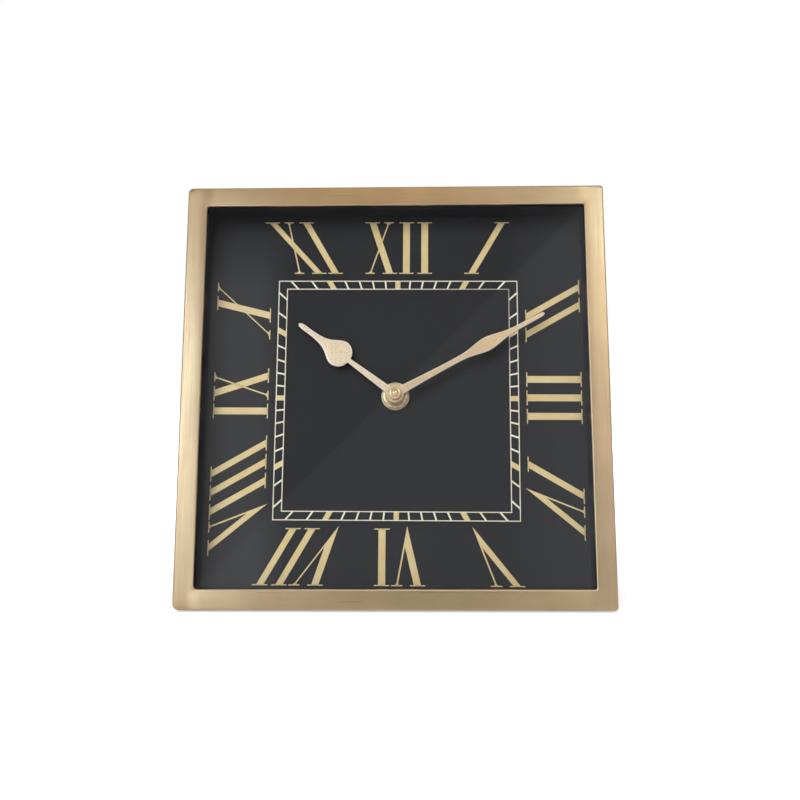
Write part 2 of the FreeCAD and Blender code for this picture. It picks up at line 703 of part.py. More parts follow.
def makeMovementCover():
    body = doc.addObject("PartDesign::Body", "movement_cover")
    outline = newSketch(body, "XZ_Plane", "lidOutline", coverLevel)
    half = "(size.movement_side / 2)"
    addRectangle(outline, ("-" + half, "size.bay_height - " + innerHalf), (half, half))
    addCircle(outline, settingAxis[0], settingAxis[1],
              "size.setting_shaft_radius + size.running_clearance")
    addPad(body, outline, "size.movement_wall")

    def topCorner(edge):
        return alongY(edge) and len(edge.Vertexes) == 2 and edge.CenterOfMass.z > 0

    roundEdges(body, "lidCorner", "size.movement_corner", topCorner)
    pivots = newSketch(body, "XZ_Plane", "rearPivotHoles", coverLevel)
    for axis in pivotAxes + (("0", "0"),):
        addCircle(pivots, axis[0], axis[1], "size.pivot_radius + size.running_clearance")
    addPocket(body, pivots, "size.pivot_depth")
    keep(body, "movement_cover", movementPlacement())


# Bush, washer and nut, which clamp the movement to the dial.

hourTubeRadius = "(size.minute_arbor_radius + size.running_clearance + size.hour_tube_wall)"


def makeBush():
    start = "(-size.backing_thickness - size.dial_thickness - size.bush_height)"
    bore = "(" + hourTubeRadius + " + size.running_clearance)"
    turnedBody("threaded_bush", (
        (start, bore), (start, "size.bush_radius"),
        ("size.movement_wall", "size.bush_radius"), ("size.movement_wall", bore),
    ), movementPlacement())


def makeWasherAndNut():
    bore = "size.bush_radius + size.thread_allowance"
    turnedBody("fixing_washer", (
        ("0", bore), ("0", "size.washer_radius"),
        ("size.washer_thickness", "size.washer_radius"), ("size.washer_thickness", bore),
    ), dialPlacement(size.washer_thickness))

    flats = size.nut_flats
    corner = flats / 2 / cos(radians(30))
    hexagon = [(corner * cos(radians(60 * side)), corner * sin(radians(60 * side)))
               for side in range(6)]
    nut = prism(hexagon, 0.0, size.nut_thickness)
    reach = size.nut_thickness + size.nut_edge
    slope = Part.makeCone(flats / 2, flats / 2 + reach, reach,
                          Vector(0, -size.nut_edge / 2, 0), Vector(0, 1, 0))
    nut = nut.common(slope)
    nut = bored(nut, value(bore), 0.0, size.nut_thickness)
    featurePiece("fixing_nut", nut, dialPlacement(size.washer_thickness + size.nut_thickness))


# Hands: flat blades with soft edges on round hubs.

def handPlacement(lift, bearing):
    """A hand that points up, turned clockwise as seen from the front."""
    return dialPlacement(lift).multiply(Placement(Vector(), Rotation(Vector(0, 1, 0), bearing)))


def bladeFrom(outline):
    """A blade from the right half of its outline, mirrored about the Z axis."""
    mirrored = []
    for edge in reversed(outline):
        copy = edge.mirror(Vector(0, 0, 0), Vector(1, 0, 0))
        mirrored.append(copy)
    wire = Part.Wire(Part.__sortEdges__(outline + mirrored))
    return Part.Face(wire).extrude(Vector(0, size.blade_thickness, 0))


def curveThrough(*points):
    """A Bezier curve in the X and Z plane, from its control points."""
    curve = Part.BezierCurve()
    curve.setPoles([Vector(x, 0, z) for x, z in points])
    return curve.toShape()


def lineBetween(start, end):
    return Part.LineSegment(Vector(start[0], 0, start[1]), Vector(end[0], 0, end[1])).toShape()


def withHub(blade, bore):
    """A blade fused to its round hub, with the hub's front edge chamfered."""
    hub = disc(size.hub_radius, 0.0, size.hub_thickness)
    front = [edge for edge in hub.Edges if edge.BoundBox.YMax < size.hub_edge]
    hub = hub.makeChamfer(size.hub_edge, front)
    lift = size.hub_thickness - size.blade_thickness
    blade.translate(Vector(0, lift / 2, 0))
    return bored(hub.fuse(blade), bore, 0.0, size.hub_thickness)


def makeHourHand():
    root = (size.hour_root_half, 0.0)
    stemAngle = atan2(size.hour_stem_half, size.pear_radius)
    stemEnd = (size.pear_radius * sin(stemAngle),
               size.pear_centre - size.pear_radius * cos(stemAngle))
    side = (size.pear_radius, size.pear_centre)
    shoulder = (size.pear_radius, (size.pear_centre + size.hour_neck) / 2)
    flare = (size.hour_neck_half + (size.hour_neck_half - size.hour_tip_half),
             (size.pear_centre + size.hour_neck) / 2)
    neck = (size.hour_neck_half, size.hour_neck)
    tipCentre = size.hour_length - size.hour_tip_half
    tip = (size.hour_tip_half, tipCentre)
    crown = (0.0, size.hour_length)
    middleAngle = (stemAngle + pi / 2) / 2
    arcMiddle = (size.pear_radius * sin(middleAngle),
                 size.pear_centre - size.pear_radius * cos(middleAngle))
    outline = [
        lineBetween((0.0, 0.0), root),
        lineBetween(root, stemEnd),
        Part.Arc(Vector(stemEnd[0], 0, stemEnd[1]), Vector(arcMiddle[0], 0, arcMiddle[1]),
                 Vector(side[0], 0, side[1])).toShape(),
        curveThrough(side, shoulder, flare, neck),
        lineBetween(neck, tip),
        quarterTip(tip, crown, size.hour_tip_half),
    ]
    bore = value(hourTubeRadius) + size.thread_allowance
    hand = withHub(bladeFrom(outline), bore)
    lift = size.hour_hub_height + size.hub_thickness
    featurePiece("hour_hand", hand, handPlacement(lift, size.hour_bearing))


def quarterTip(tip, crown, radius):
    """The round of a tip, from its side to its crown."""
    middle = (radius * cos(pi / 4), tip[1] + radius * sin(pi / 4))
    return Part.Arc(Vector(tip[0], 0, tip[1]), Vector(middle[0], 0, middle[1]),
                    Vector(crown[0], 0, crown[1])).toShape()


def makeMinuteHand():
    root = (size.minute_root_half, 0.0)
    waist = (size.minute_waist_half, size.minute_waist)
    leaf = (size.minute_leaf_half, size.minute_leaf)
    neck = (size.minute_neck_half, size.minute_neck)
    tip = (size.minute_tip_half, size.minute_length - size.minute_tip_half)
    crown = (0.0, size.minute_length)
    slimSlope = (size.minute_root_half - size.minute_waist_half) / size.minute_waist
    rise = (size.minute_leaf - size.minute_waist) / 2
    fall = (size.minute_neck - size.minute_leaf) / 2
    outline = [
        lineBetween((0.0, 0.0), root),
        lineBetween(root, waist),
        curveThrough(waist, (waist[0] - slimSlope * rise / 2, waist[1] + rise / 2),
                     (leaf[0], leaf[1] - rise / 2), leaf),
        curveThrough(leaf, (leaf[0], leaf[1] + fall / 2),
                     (neck[0] + (neck[0] - tip[0]), neck[1] - fall / 2), neck),
        lineBetween(neck, tip),
        quarterTip(tip, crown, size.minute_tip_half),
    ]
    bore = size.minute_arbor_radius + size.thread_allowance
    hand = withHub(bladeFrom(outline), bore)
    lift = size.minute_hub_height + size.hub_thickness
    featurePiece("minute_hand", hand, handPlacement(lift, size.minute_bearing))


def makeHandCap():
    body = doc.addObject("PartDesign::Body", "hand_cap")
    profile = newSketch(body, "YZ_Plane", "capProfile")
    full = "(size.cap_top - size.minute_hub_height - size.hub_thickness)"
    bore = "(size.minute_arbor_radius + size.thread_allowance)"
    boreEnd = "(size.cap_top - size.minute_arbor_height - size.stud_clearance)"
    crown = size.cap_crown
    radius = (size.cap_radius ** 2 + crown ** 2) / (2 * crown)
    half = size.cap_radius / 2
    bulge = radius - (radius ** 2 - half ** 2) ** 0.5
    arc = Part.Arc(Vector(0, 0, 0), Vector(bulge, half, 0), Vector(crown, size.cap_radius, 0))
    profile.addGeometry(arc)
    addOutlineOpen(profile, (
        ("size.cap_crown", "size.cap_radius"), (full, "size.cap_radius"), (full, bore),
        (boreEnd, bore), (boreEnd, "0"), ("0", "0")))
    turn = body.newObject("PartDesign::Revolution", "capTurn")
    turn.Profile = profile
    turn.ReferenceAxis = (profile, ["H_Axis"])
    turn.Angle = 360.0
    keep(body, "hand_cap", dialPlacement(size.cap_top))


def addOutlineOpen(sketch, corners):
    """Straight edges through corners that close on the arc drawn before them."""
    points = [Vector(value(x), value(y), 0) for x, y in corners]
    first = sketch.GeometryCount
    for start, end in zip(points, points[1:]):
        sketch.addGeometry(Part.LineSegment(start, end))
    last = sketch.GeometryCount - 1
    for index in range(first, last):
        sketch.addConstraint(Sketcher.Constraint("Coincident", index, 2, index + 1, 1))
    for index, (x, y) in enumerate(corners[:-1]):
        bindPoint(sketch, first + index, 1, x, y)
    bindPoint(sketch, last, 2, corners[-1][0], corners[-1][1])
    arcStart, arcEnd = arcPointIds(sketch, points[-1])
    sketch.addConstraint(Sketcher.Constraint("Coincident", 0, arcStart, last, 2))
    sketch.addConstraint(Sketcher.Constraint("Coincident", 0, arcEnd, first, 1))
    arc = sketch.Geometry[0]
    index = sketch.addConstraint(Sketcher.Constraint("Radius", 0, arc.Radius))
    sketch.setExpression(
        "Constraints[%d]" % index,
        "(size.cap_radius * size.cap_radius + size.cap_crown * size.cap_crown)"
        " / (2 * size.cap_crown)")


def arcPointIds(sketch, start):
    """Which end of the arc drawn first lies on a given point."""
    if sketch.getPoint(0, 1).distanceToPoint(start) < size.thread_allowance:
        return 1, 2
    return 2, 1


# The motion work, which carries the hands.

def makeMotionWork():
    wheel = size.wheel_thickness
    over = size.pinion_overlap
    clear = size.running_clearance
    motionBearing = bearingBetween(("0", "0"), motionAxis)
    dialLevel = value(dialDepth) - value(movementDepth)

    front, rear = layer(0), layer(0) + wheel
    tube = disc(value(hourTubeRadius), dialLevel - size.hour_tube_height, rear)
    hourWheel = toothedDisc(size.hour_wheel_teeth, value(hourModule), front, rear, 0.0).fuse(tube)
    hourWheel = bored(hourWheel, size.minute_arbor_radius + clear,
                      dialLevel - size.hour_tube_height, rear)
    featurePiece("hour_wheel", hourWheel, movementPlacement())

    front, rear = layer(1), layer(1) + wheel
    back = layer(2) + wheel + size.shoulder_gap
    cannon = toothedDisc(size.cannon_teeth, size.cannon_module, front, rear, 0.0)
    shaft = disc(size.minute_arbor_radius, dialLevel - size.minute_arbor_height, back)
    socket = disc(size.pivot_radius + clear, back - 2 * wheel, back)
    featurePiece("minute_arbor", cannon.fuse(shaft).cut(socket), movementPlacement())

    spring = disc(value(hourTubeRadius) - clear, rear + over / 2, layer(2) - over / 2)
    spring = bored(spring, size.minute_arbor_radius + size.thread_allowance, rear, layer(2))
    featurePiece("clutch_spring", spring, movementPlacement())

    phase = meshedPhase(size.motion_wheel_teeth, size.cannon_teeth, 0.0, motionBearing)
    pinionPhase = meshedPhase(size.motion_pinion_teeth, size.hour_wheel_teeth, 0.0, motionBearing)
    motion = toothedDisc(size.motion_wheel_teeth, size.cannon_module, front, rear, phase)
    pinion = toothedDisc(size.motion_pinion_teeth, value(hourModule),
                         layer(0) - over, front, pinionPhase)
    motion = bored(motion.fuse(pinion), size.motion_stud_radius + clear, layer(0), rear)
    featurePiece("motion_wheel", motion, movementPlacement(*motionAxis))

    settingBearing = bearingBetween(motionAxis, settingAxis)
    phase = meshedPhase(size.setting_teeth, size.motion_wheel_teeth, phase, settingBearing)
    knobEnd = size.movement_depth + size.knob_gap + size.knob_height
    gear = toothedDisc(size.setting_teeth, size.cannon_module, front, rear, phase)
    setting = gear.fuse([
        disc(size.setting_shaft_radius, size.movement_wall + size.shoulder_gap,
             knobEnd - size.knob_height / 2),
        disc(size.pivot_radius, pivotFront(), rear),
    ])
    featurePiece("setting_pinion", setting, movementPlacement(*settingAxis))

    knobStart = size.movement_depth + size.knob_gap
    serrations = []
    for step in range(2 * int(size.knob_flute_count)):
        angle = pi * step / size.knob_flute_count
        radius = size.knob_radius - size.knob_flute * (step % 2)
        serrations.append((radius * cos(angle), radius * sin(angle)))
    knob = prism(serrations, knobStart, knobEnd)
    socket = disc(size.setting_shaft_radius + size.thread_allowance, knobStart,
                  knobEnd - size.knob_height / 2)
    featurePiece("setting_knob", knob.cut(socket), movementPlacement(*settingAxis))


def pivotFront():
    """Front end of the pivots that turn in the housing's front wall."""
    return size.movement_wall - size.pivot_depth + size.running_clearance


def pivotRear():
    """Rear end of the pivots that turn in the housing's cover."""
    return value(coverLevel) + size.pivot_depth - size.running_clearance


# The going train, from the centre wheel to the rotor.

def makeGoingTrain():
    wheel = size.wheel_thickness
    over = size.pinion_overlap
    module = size.train_module
    motorModule = size.motor_module
    rearEnd = value(coverLevel) - size.shoulder_gap
    frontEnd = size.movement_wall + size.shoulder_gap

    centre = toothedDisc(size.centre_wheel_teeth, value(centreModule), layer(2), layer(2) + wheel, 0.0)
    centre = bored(centre, size.minute_arbor_radius + size.running_clearance,
                   layer(2), layer(2) + wheel)
    featurePiece("centre_wheel", centre, movementPlacement())

    thirdBearing = bearingBetween(("0", "0"), thirdAxis)
    phase = meshedPhase(size.third_pinion_teeth, size.centre_wheel_teeth, 0.0, thirdBearing)
    third = toothedDisc(size.third_pinion_teeth, value(centreModule),
                        layer(2) - over, layer(3), phase)
    third = third.fuse(toothedDisc(size.third_wheel_teeth, module, layer(3), layer(3) + wheel, 0.0))
    third = pivoted(third, frontEnd, rearEnd, pivotFront(), pivotRear(), size.arbor_radius)
    featurePiece("third_wheel", third, movementPlacement(*thirdAxis))

    phase = meshedPhase(size.seconds_pinion_teeth, size.third_wheel_teeth, 0.0, thirdBearing + pi)
    seconds = toothedDisc(size.seconds_pinion_teeth, module, layer(3) - over, layer(4), phase)
    seconds = seconds.fuse(toothedDisc(size.seconds_wheel_teeth, motorModule,
                                       layer(4), layer(4) + wheel, 0.0))
    socketEnd = layer(2) + wheel + size.shoulder_gap
    seconds = pivoted(seconds, layer(3) - over, rearEnd,
                      socketEnd - 2 * wheel + size.running_clearance, pivotRear(),
                      size.arbor_radius)
    featurePiece("seconds_wheel", seconds, movementPlacement())

    bearing = bearingBetween(("0", "0"), intermediateAxis)
    phase = meshedPhase(size.intermediate_pinion_teeth, size.seconds_wheel_teeth, 0.0, bearing)
    piece = toothedDisc(size.intermediate_pinion_teeth, motorModule, layer(4) - over, layer(5),
                        phase)
    piece = piece.fuse(toothedDisc(size.intermediate_wheel_teeth, motorModule,
                                   layer(5), layer(5) + wheel, 0.0))
    piece = pivoted(piece, frontEnd, rearEnd, pivotFront(), pivotRear(), size.arbor_radius)
    featurePiece("intermediate_wheel", piece, movementPlacement(*intermediateAxis))

    bearing = bearingBetween(intermediateAxis, rotorAxis)
    phase = meshedPhase(size.rotor_pinion_teeth, size.intermediate_wheel_teeth, 0.0, bearing)
    piece = toothedDisc(size.rotor_pinion_teeth, motorModule, layer(5) - over,
                        layer(5) + wheel + over, phase)
    piece = pivoted(piece, frontEnd, rearEnd, pivotFront(), pivotRear(), size.arbor_radius)
    featurePiece("rotor", piece, movementPlacement(*rotorAxis))

    middle = value(statorLevel) + size.stator_thickness / 2
    magnet = disc(size.magnet_radius, middle - size.magnet_height / 2,
                  middle + size.magnet_height / 2)
    magnet = bored(magnet, size.arbor_radius + size.thread_allowance, middle, middle)
    featurePiece("rotor_magnet", magnet, movementPlacement(*rotorAxis))


# The motor's stator and coil, the circuit, and the cell with its contacts.

def makeMotor():
    rotorX, rotorZ = value(rotorAxis[0]), value(rotorAxis[1])
    hole = size.magnet_radius + size.magnet_air_gap
    yoke = hole + size.yoke_margin
    right = size.coil_left + size.coil_length + size.arm_width
    top = size.coil_height + size.arm_width / 2
    left = size.coil_left - size.arm_width
    yokeLeft = rotorX - hole - size.yoke_margin / 2
    points = (
        (yokeLeft, rotorZ - yoke), (right, rotorZ - yoke), (right, top),
        (right - size.arm_width, top), (right - size.arm_width, rotorZ + yoke),
        (rotorX, rotorZ + yoke), (size.coil_left, size.coil_height - size.arm_width),
        (size.coil_left, top), (left, top), (left, size.coil_height - size.arm_width),
        (yokeLeft, rotorZ + yoke / 2),
    )
    start = value(statorLevel)
    end = start + size.stator_thickness
    stator = prism(points, start, end).cut(disc(hole, start, end, rotorX, rotorZ))
    featurePiece("stator", stator, movementPlacement())

    core = size.stator_thickness
    coreStart = end
    coreEnd = end + core
    coreHalf = size.arm_width / 4
    z = size.coil_height
    bar = block((left, right), (coreStart, coreEnd), (z - coreHalf, z + coreHalf))
    featurePiece("coil_core", bar, movementPlacement())

    middle = Vector(size.coil_left, (coreStart + coreEnd) / 2, z)
    gap = size.thread_allowance
    sheet = size.bobbin_sheet
    length = size.coil_length
    axis = Vector(1, 0, 0)
    tubeRadius = coreHalf + core / 2 + sheet
    inside = gap
    tube = Part.makeCylinder(tubeRadius, length - 2 * inside, middle + axis * inside, axis)
    flange = Part.makeCylinder(size.bobbin_radius, sheet, middle + axis * inside, axis)
    farFlange = Part.makeCylinder(size.bobbin_radius, sheet,
                                  middle + axis * (length - inside - sheet), axis)
    slot = block((left, right), (coreStart - gap, coreEnd + gap),
                 (z - coreHalf - gap, z + coreHalf + gap))
    bobbin = tube.fuse([flange, farFlange]).cut(slot)
    featurePiece("coil_bobbin", bobbin, movementPlacement())
    windingStart = middle + axis * (inside + sheet + gap)
    windingLength = length - 2 * (inside + sheet + gap)
    winding = Part.makeCylinder(size.coil_radius, windingLength, windingStart, axis)
    winding = winding.cut(Part.makeCylinder(tubeRadius + gap, length, middle, axis))
    featurePiece("coil_winding", winding, movementPlacement())


def makeCircuit():
    left, bottom = value(boardLeft), value(boardBottom)
    board = block((0.0, size.board_width), (0.0, size.board_thickness), (0.0, size.board_height))
    featurePiece("circuit_board", board,
                 movementPlacement(boardLeft, boardBottom, size.board_level))
    level = size.board_level + size.board_thickness + size.crystal_radius
    can = Part.makeCylinder(size.crystal_radius, size.crystal_length,
                            Vector(left + size.board_width / 2, level + size.thread_allowance,
                                   bottom + size.board_height / 3), Vector(0, 0, 1))
    featurePiece("quartz_crystal", can, movementPlacement())


cellHeight = "(size.battery_radius + size.battery_gap - " + innerHalf + ")"
cellLevel = "(size.movement_wall + size.battery_gap + size.battery_radius)"


def makeBattery():
    start = -(size.battery_length + size.nub_length) / 2
    level, height = value(cellLevel), value(cellHeight)
    axis = Vector(1, 0, 0)
    cell = Part.makeCylinder(size.battery_radius, size.battery_length,
                             Vector(start, level, height), axis)
    nub = Part.makeCylinder(size.nub_radius, size.nub_length,
                            Vector(start + size.battery_length, level, height), axis)
    featurePiece("battery", cell.fuse(nub), movementPlacement())


def makeContacts():
    """Spring contacts: a foot on the bay's end wall and a leaf that bows to the cell."""
    level, height = value(cellLevel), value(cellHeight)
    wall = value(innerHalf)
    sheet = size.contact_sheet
    reach = wall - (size.battery_length + size.nub_length) / 2 - size.contact_gap
    half = size.contact_height / 2
    for label, side in (("battery_contact_positive", 1), ("battery_contact_negative", -1)):
        leaf = (
            (0.0, -half), (0.0, half), (-sheet, half), (-sheet, half - sheet),
            (-reach, sheet), (-reach, -sheet), (-reach + sheet, -sheet),
            (-reach + sheet, 0.0), (-sheet, half - 3 * sheet), (-sheet, -half),
        )
        points = [Vector(side * (wall + x), level + y, height - half) for x, y in leaf]
        face = Part.Face(Part.makePolygon(points + points[:1]))
        featurePiece(label, face.extrude(Vector(0, 0, size.contact_height)), movementPlacement())


makeCase()
makeFootPads()
makeFrontStack()
makeStackFasteners()
makeRearCover()
makeCoverFasteners()
makeMovementBody()
makeMovementCover()
makeBush()
makeWasherAndNut()
makeHourHand()
makeMinuteHand()
makeHandCap()
makeMotionWork()
makeGoingTrain()
makeMotor()
makeCircuit()
makeBattery()
makeContacts()

doc.recompute()
faults = [item.Label for item in doc.Objects
          if "Invalid" in item.State or "Error" in item.State]
for piece in subParts:
    if piece.Shape.isNull() or not piece.Shape.isValid() or piece.Shape.Volume <= 0:
        faults.append(piece.Label)
if faults:
    raise RuntimeError("failed: " + ", ".join(faults))

os.makedirs("parts", exist_ok=True)
for piece in subParts:
    piece.Shape.exportStep(os.path.join("parts", piece.Label + ".step"))
print("wrote", len(subParts), "sub-parts")
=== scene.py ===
import json
from math import atan2, cos, pi, radians, sin, tan

import bmesh
import bpy
import numpy as np
from mathutils import Matrix, Vector

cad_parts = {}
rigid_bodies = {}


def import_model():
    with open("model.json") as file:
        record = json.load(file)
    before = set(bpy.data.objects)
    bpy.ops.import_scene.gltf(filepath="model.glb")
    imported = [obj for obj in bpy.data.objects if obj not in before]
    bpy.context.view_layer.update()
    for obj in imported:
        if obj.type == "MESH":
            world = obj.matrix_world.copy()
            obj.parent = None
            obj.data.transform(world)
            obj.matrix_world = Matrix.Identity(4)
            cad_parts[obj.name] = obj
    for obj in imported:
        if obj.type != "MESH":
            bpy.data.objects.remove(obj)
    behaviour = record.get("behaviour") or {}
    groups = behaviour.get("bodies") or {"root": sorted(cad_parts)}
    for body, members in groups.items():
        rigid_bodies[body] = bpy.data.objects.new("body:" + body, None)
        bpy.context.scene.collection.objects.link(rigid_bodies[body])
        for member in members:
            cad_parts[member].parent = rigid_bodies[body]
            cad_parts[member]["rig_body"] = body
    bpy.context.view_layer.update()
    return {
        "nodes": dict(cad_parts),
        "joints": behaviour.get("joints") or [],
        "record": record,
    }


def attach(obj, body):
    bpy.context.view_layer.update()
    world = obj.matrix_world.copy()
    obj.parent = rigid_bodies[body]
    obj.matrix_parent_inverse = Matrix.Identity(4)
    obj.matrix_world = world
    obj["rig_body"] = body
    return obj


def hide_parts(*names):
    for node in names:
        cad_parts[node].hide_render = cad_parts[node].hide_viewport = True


# A square brass table clock with a leaning face, dressed around its solids.
# Metres. Face coordinates are across, depth into the clock and height along
# the face, from the point of the front plane that the hands' axis passes.

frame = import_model()
scene = bpy.context.scene
cadNodes = frame["nodes"]
handsJoint = [joint for joint in frame["joints"] if joint["name"] == "minute_turn"][0]
mm = 0.001

acrossAxis = np.array([1.0, 0.0, 0.0])
depthAxis = np.array(handsJoint["axis"], float)
upAxis = np.cross(acrossAxis, depthAxis)
faceAxes = np.stack([acrossAxis, depthAxis, upAxis])
leanAngle = atan2(upAxis[1], upAxis[2])


def nodePoints(node):
    # all corners of a solid's mesh as one array
    mesh = cadNodes[node].data
    points = np.empty(len(mesh.vertices) * 3, np.float32)
    mesh.vertices.foreach_get("co", points)
    return points.reshape(-1, 3).astype(float)


def originOnFront():
    # slide the joint's point along its axis until it lies in the front plane
    point = np.array(handsJoint["pos_m"], float)
    front = (nodePoints("case_shell") @ depthAxis).min()
    return point + depthAxis * (front - point @ depthAxis)


faceOrigin = originOnFront()


def toWorld(points):
    # origin plus each coordinate times its axis
    return faceOrigin + np.asarray(points, float) @ faceAxes


def facePoints(node):
    # a solid's corners in face coordinates, each their part along an axis
    return (nodePoints(node) - faceOrigin) @ faceAxes.T


def span(node):
    # lowest and highest corner of a solid in face coordinates
    local = facePoints(node)
    return local.min(0), local.max(0)


def middleOf(node):
    # across and height halfway between a solid's lowest and highest corner
    low, high = span(node)
    return (low[0] + high[0]) / 2, (low[2] + high[2]) / 2


def inMetres(**sizes):
    # a dictionary of sizes and rows of sizes given in millimetres
    return {key: tuple(part * mm for part in size) if isinstance(size, tuple) else size * mm
            for key, size in sizes.items()}


# Meshes

def skin(grid, closed=True):
    # quads join each ring to the next; the last ring meets the first, or both ends get caps
    grid = np.asarray(grid, float)
    rings, steps = grid.shape[:2]
    ring, step = np.meshgrid(np.arange(rings if closed else rings - 1), np.arange(steps),
                             indexing="ij")
    nextRing, nextStep = (ring + 1) % rings, (step + 1) % steps
    quads = np.stack([ring * steps + step, ring * steps + nextStep,
                      nextRing * steps + nextStep, nextRing * steps + step], axis=-1)
    faces = quads.reshape(-1, 4).tolist()
    if not closed:
        faces.append(list(range(steps))[::-1])
        faces.append(list(range((rings - 1) * steps, rings * steps)))
    return grid.reshape(-1, 3), faces


def prism(outline, near, far, caps=None):
    # an outline of across and height pairs at two depths, with walls between them
    outline = np.asarray(outline, float)
    count = len(outline)
    caps = caps or [list(range(count))]
    faces = caps + [[corner + count for corner in cap][::-1] for cap in caps]
    faces += [[i, (i + 1) % count, (i + 1) % count + count, i + count] for i in range(count)]
    return np.concatenate([np.insert(outline, 1, depth, axis=1) for depth in (near, far)]), faces


def joinParts(parts):
    # puts several point and face lists into one pair
    points, faces, first = [], [], 0
    for partPoints, partFaces in parts:
        points.append(partPoints)
        faces += [[corner + first for corner in face] for face in partFaces]
        first += len(partPoints)
    return np.concatenate(points), faces


def turned(points, angle):
    # pairs of across and height, turned clockwise as seen from the front
    c, s = cos(angle), sin(angle)
    return np.asarray(points, float) @ np.array([[c, -s], [s, c]])


def ringAt(angle, radius, depth, centre=(0.0, 0.0)):
    # points about an axis that runs into the depth, one radius for all or one for each
    return np.stack([radius * np.cos(angle) + centre[0], np.full_like(angle, depth),
                     radius * np.sin(angle) + centre[1]], -1)


def turnedPart(profile, steps=96, axis="depth", centre=(0.0, 0.0)):
    # the profile, pairs of place along the axis and radius, turned about it
    profile = np.asarray(profile, float)
    angle = np.linspace(0, 2 * pi, steps, endpoint=False)[:, None]
    along, radius = profile[None, :, 0], profile[None, :, 1]
    side = radius * np.cos(angle)
    other = radius * np.sin(angle)
    along = np.broadcast_to(along, side.shape)
    if axis == "depth":
        return skin(np.stack([side + centre[0], along, other + centre[1]], -1))
    return skin(np.stack([along, side + centre[0], other + centre[1]], -1))


def roundedProfile(corners, radii, steps=5):
    # a closed outline whose corners become arcs of the given radii
    corners = np.asarray(corners, float)
    points = []
    count = len(corners)
    for index, (corner, radius) in enumerate(zip(corners, radii)):
        if radius <= 0:
            points.append(corner)
            continue
        back, ahead = corners[index - 1] - corner, corners[(index + 1) % count] - corner
        back, ahead = back / np.linalg.norm(back), ahead / np.linalg.norm(ahead)
        halfTurn = np.arccos(np.clip(back @ ahead, -1, 1)) / 2
        reach = radius / tan(halfTurn)
        middle = back + ahead
        centre = corner + middle / np.linalg.norm(middle) * radius / sin(halfTurn)
        start, end = corner + back * reach, corner + ahead * reach
        for share in np.linspace(0, 1, steps):
            arm = (start - centre) * (1 - share) + (end - centre) * share
            points.append(centre + arm / np.linalg.norm(arm) * radius)
    return np.array(points)


# how near corners merge, what counts as flat, and from what angle an edge stays sharp
cleaning = {
    "merge": 1e-6, "collapse": 2.5e-7, "copyMerge": 2e-6, "flat": radians(0.4),
    "sharp": radians(32), "bevel": radians(40),
}


def placePiece(name, mesh, body, nodes=(), sharpAngle=cleaning["sharp"]):
    # a smooth mesh as an object in place, riding on its body and standing for its solids
    mesh.shade_smooth()
    mesh.set_sharp_from_angle(angle=sharpAngle)
    piece = bpy.data.objects.new(name, mesh)
    scene.collection.objects.link(piece)
    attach(piece, body)
    if nodes:
        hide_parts(*nodes)
    return piece


def newPiece(name, parts, material, body, slot, nodes=(), sharpAngle=cleaning["sharp"],
             toPlace=toWorld, merged=True, uv=None, **attributes):
    # the parts become one mesh, its doubles merged and its faces pointing outward
    points, faces = joinParts(parts)
    mesh = bpy.data.meshes.new(name)
    mesh.from_pydata(toPlace(points).tolist(), [], faces)
    if uv is not None:
        layer = mesh.uv_layers.new(name="brush")
        layer.data.foreach_set("uv", uv.ravel().astype(np.float32))
    for key, values in attributes.items():
        layer = mesh.attributes.new(key, "FLOAT", "POINT")
        layer.data.foreach_set("value", np.asarray(values, np.float32).ravel())
    mesh.materials.append(material)
    work = bmesh.new()
    work.from_mesh(mesh)
    if merged:
        bmesh.ops.remove_doubles(work, verts=work.verts, dist=cleaning["merge"])
        bmesh.ops.dissolve_degenerate(work, dist=cleaning["collapse"], edges=work.edges)
    bmesh.ops.recalc_face_normals(work, faces=work.faces)
    work.to_mesh(mesh)
    work.free()
    return placePiece(name, mesh, body, nodes, sharpAngle)


def evenNormals(piece):
    # normals weighted by face area, up to the sharp edges
    weighted = piece.modifiers.new("evenNormals", "WEIGHTED_NORMAL")
    weighted.keep_sharp = True
    weighted.weight = 100


def smoothCopy(node, name, slot, edge):
    # a merged copy of a solid's mesh with smooth curves and a narrow bevel, standing for it
    mesh = cadNodes[node].data.copy()
    mesh.name = name
    mesh.materials.clear()
    mesh.materials.append(finishes[slot])
    work = bmesh.new()
    work.from_mesh(mesh)
    bmesh.ops.remove_doubles(work, verts=work.verts, dist=cleaning["copyMerge"])
    bmesh.ops.dissolve_limit(work, angle_limit=cleaning["flat"], verts=work.verts,
                             edges=work.edges, delimit={"NORMAL"})
    work.to_mesh(mesh)
    work.free()
    piece = placePiece(name, mesh, cadNodes[node]["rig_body"], (node,))
    bevel = piece.modifiers.new("edgeRound", "BEVEL")
    bevel.width = edge
    bevel.segments = 3
    bevel.limit_method = "ANGLE"
    bevel.angle_limit = cleaning["bevel"]
    bevel.harden_normals = False
    evenNormals(piece)


# Materials: every finish is worked out from object coordinates or a piece's own map.

def feed(socket, value):
    # another node's output is linked to the socket, a plain value is set on it
    if hasattr(value, "is_output"):
        socket.id_data.links.new(value, socket)
    else:
        socket.default_value = value


def addNode(tree, kind, inputs=(), **settings):
    # a new node with the given properties, and its inputs by name or in order
    node = tree.nodes.new(kind)
    for key, setting in settings.items():
        setattr(node, key, setting)
    pairs = inputs.items() if isinstance(inputs, dict) else enumerate(inputs)
    for key, value in pairs:
        feed(node.inputs[key], value)
    return node


def maths(tree, operation, *values):
    # one step of arithmetic on numbers
    return addNode(tree, "ShaderNodeMath", values, operation=operation).outputs[0]


def vector(tree, operation, *values):
    # the same on vectors: a vector, or a number for a length or a dot product
    node = addNode(tree, "ShaderNodeVectorMath", values, operation=operation)
    return node.outputs["Value" if operation in ("DOT_PRODUCT", "LENGTH") else "Vector"]


